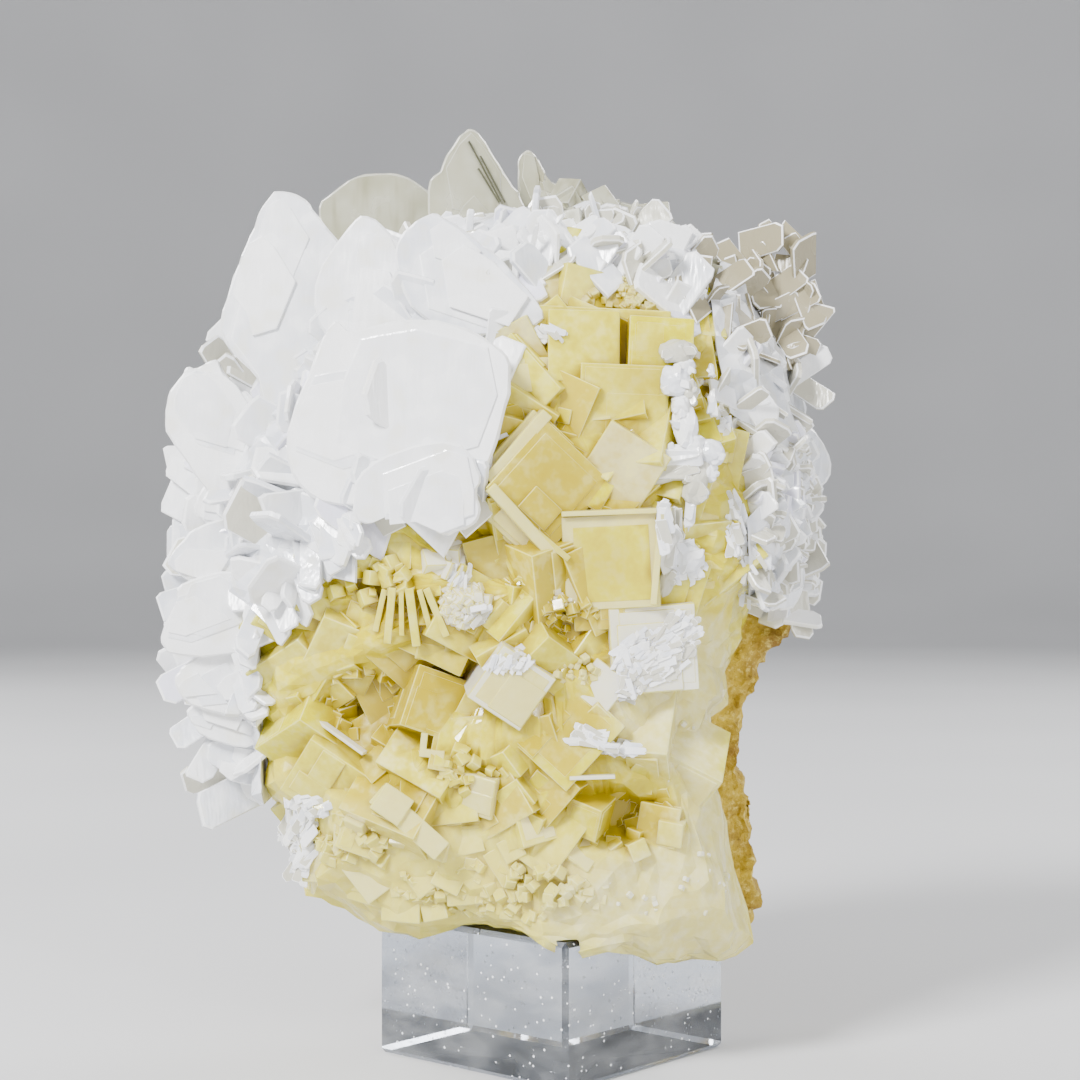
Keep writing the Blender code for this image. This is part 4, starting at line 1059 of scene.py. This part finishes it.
def matrix_material():
    s = Shader("matrix_ochre")
    cloud = s.noise(0.12, 3, 0.6)
    speck = s.noise(1.1, 3, 0.7)
    colour = s.mix(s.span(cloud, 0.35, 0.62), (0.24, 0.13, 0.014), (0.62, 0.44, 0.03))
    colour = s.mix(s.span(speck, 0.52, 0.72), colour, (0.78, 0.62, 0.14))
    colour = s.mix(s.span(speck, 0.28, 0.42, 0.75, 0), colour, (0.09, 0.045, 0.015))
    roughness = s.span(speck, 0.3, 0.7, 0.9, 0.55)
    rough = s.bump(s.noise(1.6, 3, 0.7), 0.5, 0.8)
    return s.finish(colour, roughness, rough)


def acrylic_material():
    """Clear acrylic, a little milky, with dust and fine scratches."""
    s = Shader("clear_acrylic")
    s.set(IOR=1.49)
    haze = s.noise(0.12, 2, 0.6, (1, 1, 2.5))
    scratch = s.noise(1.5, 2, 0.6, (1, 1, 0.05))
    dust = s.span(s.cells(0.8), 0.1, 0.15, 1, 0)
    streaks = s.span(s.cells(0.35, "F1", (0.35, 0.35, 3.0)), 0.05, 0.1, 0.8, 0)
    marks = s.maths("MAXIMUM", dust, s.maths("MULTIPLY", streaks, s.span(scratch, 0.5, 0.65)))
    colour = s.mix(s.span(haze, 0.4, 0.65), (0.62, 0.68, 0.78), (0.80, 0.84, 0.90))
    colour = s.mix(marks, colour, (0.95, 0.96, 0.98))
    clear = s.maths("SUBTRACT", s.span(haze, 0.35, 0.7, 0.95, 0.82), s.maths("MULTIPLY", marks, 0.8))
    s.link(clear, s.main.inputs["Transmission Weight"])
    roughness = s.span(haze, 0.4, 0.7, 0.02, 0.07)
    return s.finish(colour, roughness, s.bump(scratch, 0.02, 0.12))


def floor_material():
    s = Shader("pale_floor")
    colour = s.mix(s.noise(0.01, 0), (0.58, 0.58, 0.59), (0.64, 0.64, 0.65))
    s.set(Roughness=0.7)
    return s.finish(colour)


def grain_angles(x, z, rng, spread):
    """Turn of a cube at x, z: cubes near each other grew almost parallel."""
    normal = front_normal(x, z)
    wave = noise.noise_vector(Vector((x, 0, z)) * 0.06)
    yaw = math.degrees(math.atan2(normal.x, -normal.y)) * 0.7 + wave.x * 50 + rng.uniform(-spread, spread)
    pitch = -math.degrees(math.asin(normal.z)) * 0.7 + wave.y * 50 + rng.uniform(-spread, spread)
    roll = 28 + wave.z * 110 + rng.uniform(-spread, spread)
    return yaw, pitch, roll


def growth_kind(x, z, rng):
    """Kind of a random cube at x, z."""
    if inside(x, z, PALE_FIELD):
        return rng.choice(("coat", "coat", "face", "face", "lemon"))
    # Near the deep spots the cubes take darker kinds; over the hollows this is painted recess shade.
    deep = max(math.exp(-((x - sx) / hx) ** 2 - ((z - sz) / hz) ** 2) for sx, sz, hx, hz in DEEP_SPOTS)
    if deep > 0.45:
        return rng.choice(("deep", "deep", "lemon"))
    return rng.choice(("face", "face", "face", "lemon", "lemon", "deep"))


def druse(rng):
    """Patches of tiny cubes."""
    shapes = []
    for x_mid, z_mid, half_x, half_z, count, small, large, swell, kind in DRUSE:
        for _ in range(count):
            turn, share = rng.uniform(0, 2 * math.pi), math.sqrt(rng.random())
            x = x_mid + half_x * share * math.cos(turn)
            z = z_mid + half_z * share * math.sin(turn)
            edge = rng.uniform(small, large)
            y = -front_depth(x, z) - swell * math.sqrt(1 - share ** 2) - rng.uniform(0.1, 0.5)
            shapes.append(cube((x, y, z), edge, grain_angles(x, z, rng, 40), kind, rng.randrange(SHADES)))
    return shapes


def fluorite_crystals():
    """Every cube of the yellow front, grown together with the body behind."""
    rng = random.Random(12)
    shapes = []
    for row in CUBES.values():
        shapes += stepped_cube(row[0:3], row[3], row[4:7], rng, 2, row[7], row[8])
    for row in BARS.values():
        shapes.append(box(Vector(row[0:3]), turned(row[6:9]), row[3:6], row[9], rng.randrange(SHADES)))
    for x, z in points_in(OPEN_FIELD, 4.6, rng):
        if inside(x, z, CREAM_FIELD):
            continue
        low = inside(x, z, PALE_FIELD)
        edge = rng.uniform(3.5, 6) if low else rng.uniform(6, 11)
        y = -front_depth(x, z) + edge * rng.uniform(0.0, 0.14)
        kind = growth_kind(x, z, rng)
        shapes += stepped_cube((x, y, z), edge, grain_angles(x, z, rng, 6), rng, 1, kind)
    for x, z in points_in(OPEN_FIELD, 3.4, rng):
        if inside(x, z, CREAM_FIELD) or rng.random() < 0.5:
            continue
        edge = rng.uniform(1.6, 4)
        y = -front_depth(x, z) - rng.uniform(-0.4, 0.8)
        kind = growth_kind(x, z, rng)
        shapes.append(cube((x, y, z), edge, grain_angles(x, z, rng, 14), kind, rng.randrange(SHADES)))
    shapes += druse(rng)
    item = radial_body(FRONT_RIM, -1, FRONT_REACH, SPLIT_Y + 1, FRONT_ROUGH, grain=0.5)
    boolean(item, shapes, "UNION")
    boolean(item, [prism(HALF_SPACE, SPLIT_Y, BEYOND)], "DIFFERENCE")
    cut_at_block(item)
    drop_loose(item)
    split_long_edges(item, 1.9)
    mark_hollows(item, 9)
    mark(item, "cream", lambda x, y, z: field_share(x, z, CREAM_FIELD, 1.5))
    mark(item, "pale", lambda x, y, z: field_share(x, z, PALE_FIELD, 2.0))
    # 'depths' darkens the colour over the deep spots; over the hollows this is painted recess shade.
    mark(item, "depths", lambda x, y, z: min(1, sum(
        math.exp(-((x - sx) / hx) ** 2 - ((z - sz) / hz) ** 2) for sx, sz, hx, hz in DEEP_SPOTS)))
    return item


def rock_height(place):
    """How far the rock's skin stands out at a place, in millimetres."""
    return noise.fractal(place * 0.35, 0.9, 2.1, 5) + noise.cell(place * 0.5) * 0.45 - 0.55


def matrix_rock():
    """The rough rock behind, remeshed finely and broken up by noise."""
    rng = random.Random(41)
    blocks = []
    for _ in range(18):
        angle = rng.uniform(-math.pi, math.pi)
        fraction = rng.uniform(0.2, 0.85)
        distance, _ = rim_at(BACK_RIM, angle)
        x = CENTRE_X + math.cos(angle) * distance * fraction
        z = CENTRE_Z + math.sin(angle) * distance * fraction
        edge = rng.uniform(7, 12)
        y = bulge(fraction, 0, BACK_REACH) - edge * 0.82
        angles = (rng.uniform(-30, 30), rng.uniform(-25, 25), rng.uniform(0, 90))
        blocks.append(cube((x, y, z), edge, angles))
    item = radial_body(BACK_RIM, 1, BACK_REACH, SPLIT_Y - 2.5, BACK_ROUGH)
    boolean(item, blocks, "UNION")
    cut_at_block(item)
    change = item.modifiers.new("remesh", "REMESH")
    change.mode = "VOXEL"
    change.voxel_size = 0.75 * MM
    graph = bpy.context.evaluated_depsgraph_get()
    item.data = bpy.data.meshes.new_from_object(item.evaluated_get(graph))
    item.modifiers.clear()
    roughen(item, rock_height)
    return item


def crust(field, thickness):
    """The barite's base: the part over a field of a shell round the fluorite and the rock."""
    front_end, back_end = SPLIT_Y + CRUST_OVERLAP, SPLIT_Y - CRUST_OVERLAP
    item = radial_body(FRONT_RIM, -1, FRONT_REACH, front_end, FRONT_ROUGH, thickness, CRUST_FINE)
    back = radial_body(BACK_RIM, 1, BACK_REACH, back_end, BACK_ROUGH, thickness, CRUST_FINE)
    boolean(item, [back], "UNION")
    return boolean(item, [prism(field, CRUST_FRONT, CRUST_BACK)], "INTERSECT")


def barite_fan():
    """White blades of the left side and the top on one crust."""
    rng = random.Random(8)
    item = crust(FAN_FIELD, 2.0)
    shapes = []
    for name, row in FAN_BLADES.items():
        shapes.append(blade(row, shade=rng.randrange(SHADES)))
        shapes += terraces(row, 3, rng)
        if name.startswith("edge"):
            for layer in range(1, EDGE_LAYERS):
                shapes.append(blade(row, layer * EDGE_LAYER_STEP, 1 - layer * EDGE_LAYER_SHRINK))
    for x, z in points_in(FAN_FIELD, 2.8, rng):
        depth = front_depth(x, z)
        if depth < 2:
            continue
        length = rng.uniform(3.5, 8)
        out = Vector((x - CENTRE_X, 0, z - CENTRE_Z)).normalized()
        direction = out + Vector([rng.uniform(-0.6, 0.6) for _ in range(3)])
        flat = front_normal(x, z) + Vector([rng.uniform(-0.35, 0.35) for _ in range(3)])
        root = Vector((x, -depth - rng.uniform(1.4, 2.2), z)) - out * length * 0.4
        root = pulled_in(root, direction, length)
        width = length * rng.uniform(0.6, 1.0)
        thickness = rng.uniform(0.5, 1.0)
        kind = barite_kind(rng)
        shapes.append(tablet(root, direction, flat, length, width, thickness, rng, kind))
    shapes += side_tablets(rng, 400, angles=(58, 208), reaches=(-14, 17), lengths=(3.4, 6.2), mixed=0.25)
    shapes += border_tablets(rng)
    shapes += band_tablets(rng)
    boolean(item, shapes, "UNION")
    drop_loose(item)
    return item


def barite_kind(rng, glassy=0.17):
    """Kind of a small blade: white, translucent grey or faintly lilac."""
    draw = rng.random()
    if draw < glassy:
        return "glass"
    return "lilac" if draw < glassy + 0.12 else "face"


def pulled_in(root, direction, length):
    """The root, moved so that the blade's tip stays inside the left end."""
    tip = root.x + direction.normalized().x * length
    return root + Vector((max(0, LEFT_END - tip), 0, 0))


def crest_kind(root, kind):
    """The blades over the top are greyish, and those behind the upper right are brown, darkened as painted
    shade.
    """
    if root.z > 89 and root.x > 17:
        return "beige"
    return "glass" if root.z > 104 and root.x > -2 else kind


def side_tablets(rng, count, angles, reaches, lengths, mixed, glassy=0.17):
    """Seeded blades standing on the side.

    angles are in degrees round the centre, reaches are along y, mixed is the share whose flat isn't
    towards the viewer, and glassy is the share of translucent ones.
    """
    items = []
    for _ in range(count):
        angle = math.radians(rng.uniform(*angles))
        y = rng.uniform(*reaches)
        root = side_point(angle, y)
        out = Vector((math.cos(angle), y / 20, math.sin(angle)))
        shake = Vector([rng.uniform(-0.4, 0.4) for _ in range(3)])
        normal = Vector((rng.uniform(-0.4, 0.4), -1, rng.uniform(-0.4, 0.4)))
        if rng.random() < mixed:
            normal = Vector([rng.uniform(-1, 1) for _ in range(3)])
        length = rng.uniform(*lengths) * (1 - 0.35 * rng.random())
        width = length * rng.uniform(0.42, 0.85)
        root -= out * length * 0.36
        thickness = rng.uniform(0.5, 1.0)
        kind = crest_kind(root, barite_kind(rng, glassy))
        root = pulled_in(root, out + shake, length)
        items.append(tablet(root, out + shake, normal, length, width, thickness, rng, kind))
    return items


def border_tablets(rng):
    """Finger-like tips reaching over the yellow along the fan's lower edge."""
    items = []
    for (xa, za), (xb, zb) in zip(FAN_BORDER, FAN_BORDER[1:]):
        for step in range(7):
            share = (step + rng.uniform(0.1, 0.9)) / 7
            x, z = xa + share * (xb - xa), za + share * (zb - za)
            root = Vector((x - 1, -front_depth(x, z) - 1.5, z + 1))
            direction = (rng.uniform(-0.3, 0.9), rng.uniform(-0.8, -0.2), rng.uniform(-1.2, 0.1))
            length = rng.uniform(3, 6)
            normal = (rng.uniform(-0.6, 0.6), -1, rng.uniform(-0.6, 0.6))
            items.append(tablet(root, direction, normal, length, length * 0.5, rng.uniform(0.6, 1.1), rng))
    return items


def band_tablets(rng):
    """Blades of the white band over the top, lying like shingles with a few threads between."""
    items = []
    for number in range(130):
        x = rng.uniform(-8, 18)
        z = 107 - abs(x - 4) * 0.3 - rng.uniform(0, 9)
        thread = number % 5 == 0
        root = Vector((x, -front_depth(x, z) - rng.uniform(0.8, 1.8), z))
        direction = (rng.uniform(-0.9, 0.9), rng.uniform(-0.2, 0.1), rng.uniform(-1, 0.9))
        length = rng.uniform(2.8, 6)
        width = 0.6 if thread else length * rng.uniform(0.6, 0.9)
        normal = front_normal(x, z) + Vector([rng.uniform(-0.28, 0.28) for _ in range(3)])
        kind = crest_kind(root, barite_kind(rng))
        items.append(tablet(root, direction, normal, length, width, rng.uniform(0.4, 0.9), rng, kind))
    return items


def crest_lumps():
    """Translucent grey lumps of intergrown crystals along the crest."""
    rng = random.Random(31)
    shapes = []
    for x, y, z, radius in CREST_LUMPS:
        shapes.append(lump((x, y, z), (radius, radius, radius * 0.8), (0, 0, 0), rng, "face", 2))
        for _ in range(4):
            middle = Vector((x, y, z)) + Vector([rng.uniform(-0.5, 0.5) * radius for _ in range(3)])
            angles = [rng.uniform(-40, 40) for _ in range(3)]
            half = [radius * rng.uniform(0.45, 0.75) for _ in range(3)]
            shapes.append(box(middle, turned(angles), half, "glass", rng.randrange(SHADES)))
    item = shapes[0]
    boolean(item, shapes[1:], "UNION")
    return item


def front_y(tree, x, z):
    """Where the front of a piece is met at x, z, in millimetres."""
    place = tree.ray_cast(Vector((x, -BEYOND, z)) * MM, Vector((0, 1, 0)))[0]
    return place.y / MM if place else -front_depth(x, z)


def barite_coats(tree):
    """White fibrous blades lying on the yellow faces."""
    rng = random.Random(37)
    shapes = []
    for x_mid, z_mid, half_x, half_z, angle, count, size in COATS:
        for _ in range(count):
            turn, share = rng.uniform(0, 2 * math.pi), math.sqrt(rng.random())
            x = x_mid + half_x * share * math.cos(turn)
            z = z_mid + half_z * share * math.sin(turn)
            root = Vector((x, front_y(tree, x, z) - rng.uniform(0.0, 0.2), z))
            heading = math.radians(angle + rng.uniform(-26, 26))
            direction = (math.cos(heading), rng.uniform(-0.1, 0.1), math.sin(heading))
            normal = (rng.uniform(-0.16, 0.16), -1, rng.uniform(-0.16, 0.16))
            length = size * rng.uniform(0.6, 1.2)
            width = length * rng.uniform(0.25, 0.6)
            kind = rng.choice(("face", "face", "glass"))
            shapes.append(tablet(root, direction, normal, length, width, rng.uniform(0.16, 0.32), rng, kind))
    item = shapes[0]
    boolean(item, shapes[1:], "UNION")
    return item


def barite_clear(blades, seed, striae=()):
    """Translucent blades, perhaps with dark growth lines."""
    rng = random.Random(seed)
    rows = list(blades.values())
    item = blade(rows[0])
    shapes = [blade(row, shade=rng.randrange(SHADES)) for row in rows[1:]]
    for row in rows:
        shapes += terraces(row, 2, rng)
    for x, y, z, half, roll in striae:
        shapes.append(box(Vector((x, y, z)), turned((5, 0, roll)), (half, 0.3, 0.16), "dark"))
    boolean(item, shapes, "UNION")
    return item


def barite_rosettes():
    """Fine blades of the right edge."""
    rng = random.Random(17)
    item = crust(RIGHT_FIELD, 1.4)
    shapes = [blade(row) for row in ROSETTE_BLADES.values()]
    shapes += side_tablets(
        rng, 300, angles=(-2, 31), reaches=(-16, 16), lengths=(3.4, 5.8), mixed=0.4, glassy=0.5)
    for x, z in points_in(RIGHT_FIELD, 1.9, rng):
        depth = front_depth(x, z)
        if depth < -1 or x > 33:
            continue
        direction = Vector((rng.uniform(-0.6, 1), rng.uniform(-0.5, 0.1), rng.uniform(-1, 1)))
        flat = front_normal(x, z) + Vector([rng.uniform(-0.7, 0.7) for _ in range(3)])
        length = rng.uniform(2.6, 5)
        root = Vector((x, -depth - 0.9, z))
        thickness = rng.uniform(0.45, 0.85)
        width = length * rng.uniform(0.6, 0.95)
        kind = crest_kind(root, barite_kind(rng, 0.5))
        shapes.append(tablet(root, direction, flat, length, width, thickness, rng, kind))
    boolean(item, shapes, "UNION")
    drop_loose(item)
    return item


def barite_sprig():
    """The small white branch on the yellow faces."""
    rng = random.Random(23)
    shapes = []
    for x, y, z, half_x, half_y, half_z, roll, kind in SPRIG_LOBES:
        shapes.append(lump((x, y, z), (half_x, half_y, half_z), (0, 0, roll), rng, kind, 3))
        for _ in range(3):
            heading = rng.uniform(0, 2 * math.pi)
            direction = Vector((math.cos(heading) * half_x, rng.uniform(-0.6, 0), math.sin(heading) * half_z))
            normal = (rng.uniform(-0.5, 0.5), -1, rng.uniform(-0.5, 0.5))
            length = direction.length * 1.05
            shapes.append(tablet((x, y - 0.3, z), direction, normal, length, length * 0.5, half_y, rng, kind))
    item = shapes[0]
    boolean(item, shapes[1:], "UNION")
    return item


def make_floor():
    """A pale floor that curves up a little far from the specimen."""
    spokes, rings = 96, []
    for radius in (0.0, 0.4, 0.8, FLOOR_FLAT):
        rings.append((radius, 0.0))
    for step in range(1, 13):
        angle = math.pi / 2 * step / 12
        rings.append((FLOOR_FLAT + FLOOR_CURVE * math.sin(angle), FLOOR_CURVE * (1 - math.cos(angle))))
    rings.append((FLOOR_FLAT + FLOOR_CURVE, FLOOR_CURVE + FLOOR_LIP))
    points, faces = [(0, 0, 0)], []
    for radius, height in rings[1:]:
        for index in range(spokes):
            turn = 2 * math.pi * index / spokes
            points.append((radius * math.cos(turn), radius * math.sin(turn), height))
    for index in range(spokes):
        faces.append((0, 1 + index, 1 + (index + 1) % spokes))
    for ring in range(len(rings) - 2):
        for index in range(spokes):
            after = (index + 1) % spokes
            low = 1 + ring * spokes
            faces.append((low + index, low + spokes + index, low + spokes + after, low + after))
    mesh = bpy.data.meshes.new("floor")
    mesh.from_pydata(points, [], faces)
    mesh.shade_smooth()
    floor = bpy.data.objects.new("floor", mesh)
    floor.data.materials.append(floor_material())
    bpy.context.scene.collection.objects.link(floor)


def add_light(name, place, aim, size, power):
    """A soft square light; place and aim are in metres."""
    data = bpy.data.lights.new(name, "AREA")
    data.size = size
    data.energy = power
    light = bpy.data.objects.new(name, data)
    light.location = place
    light.rotation_euler = (Vector(aim) - Vector(place)).to_track_quat("-Z", "Y").to_euler()
    light.visible_camera = False
    bpy.context.scene.collection.objects.link(light)


def make_stage():
    """Camera, soft lights and the pale surroundings."""
    make_floor()
    middle = (0, 0, 0.06)
    add_light("key", (-0.42, -0.55, 0.55), middle, 0.2, 17.5)
    add_light("fill", (0.55, -0.5, 0.28), middle, 0.4, 3.2)
    add_light("spark", (0.24, -0.6, 0.34), middle, 0.03, 0.8)
    add_light("back_left", (-0.5, 0.45, 0.5), middle, 0.4, 5.0)
    add_light("back_right", (0.5, 0.5, 0.55), middle, 0.4, 5.0)
    world = bpy.data.worlds.new("studio")
    world.use_nodes = True
    world.node_tree.nodes["Background"].inputs["Color"].default_value = (0.9, 0.92, 0.95, 1)
    world.node_tree.nodes["Background"].inputs["Strength"].default_value = 0.42
    bpy.context.scene.world = world
    data = bpy.data.cameras.new("camera")
    data.lens = CAMERA_LENS
    data.sensor_width = CAMERA_SENSOR
    data.clip_start = 0.01
    data.clip_end = 20
    camera = bpy.data.objects.new("camera", data)
    camera.location = Vector(CAMERA_PLACE) * MM
    camera.rotation_euler = (math.pi / 2, 0, 0)
    bpy.context.scene.collection.objects.link(camera)
    bpy.context.scene.camera = camera


def main():
    make_stage()
    fluorite = fluorite_material()
    barite = barite_material()
    clear = clear_barite_material("barite_clear", (0.56, 0.55, 0.38), (0.72, 0.71, 0.56))
    # A darker, browner copy of the clear barite: painted shade for the blades behind the upper right.
    clear_in_shade = clear_barite_material("barite_clear_shaded", (0.30, 0.26, 0.14), (0.48, 0.43, 0.28))
    crystals = put(fluorite_crystals(), "fluorite", fluorite, "fluorite", "fluorite_crystals")
    faces = [face.vertices for face in crystals.data.polygons]
    tree = BVHTree.FromPolygons([vertex.co for vertex in crystals.data.vertices], faces)
    put(matrix_rock(), "rock", matrix_material(), "matrix", "matrix_rock")
    put(barite_fan(), "fan", barite, "barite", "barite_fan")
    put(barite_clear(CLEAR_BLADES, 3, STRIAE), "fan_clear_blades", clear, "barite", "barite_fan")
    put(barite_rosettes(), "rosettes", barite, "barite", "barite_rosettes_right")
    put(barite_clear(ROSETTE_CLEAR, 4), "rosette_clear_blades", clear_in_shade, "barite", "barite_rosettes_right")
    put(crest_lumps(), "crest_lumps", clear, "barite", "barite_fan")
    put(barite_sprig(), "sprig", barite, "barite", "barite_sprig")
    put(barite_coats(tree), "coats", barite, "barite")
    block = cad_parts["acrylic_block"]
    block.data.materials.clear()
    block.data.materials.append(acrylic_material())


main()
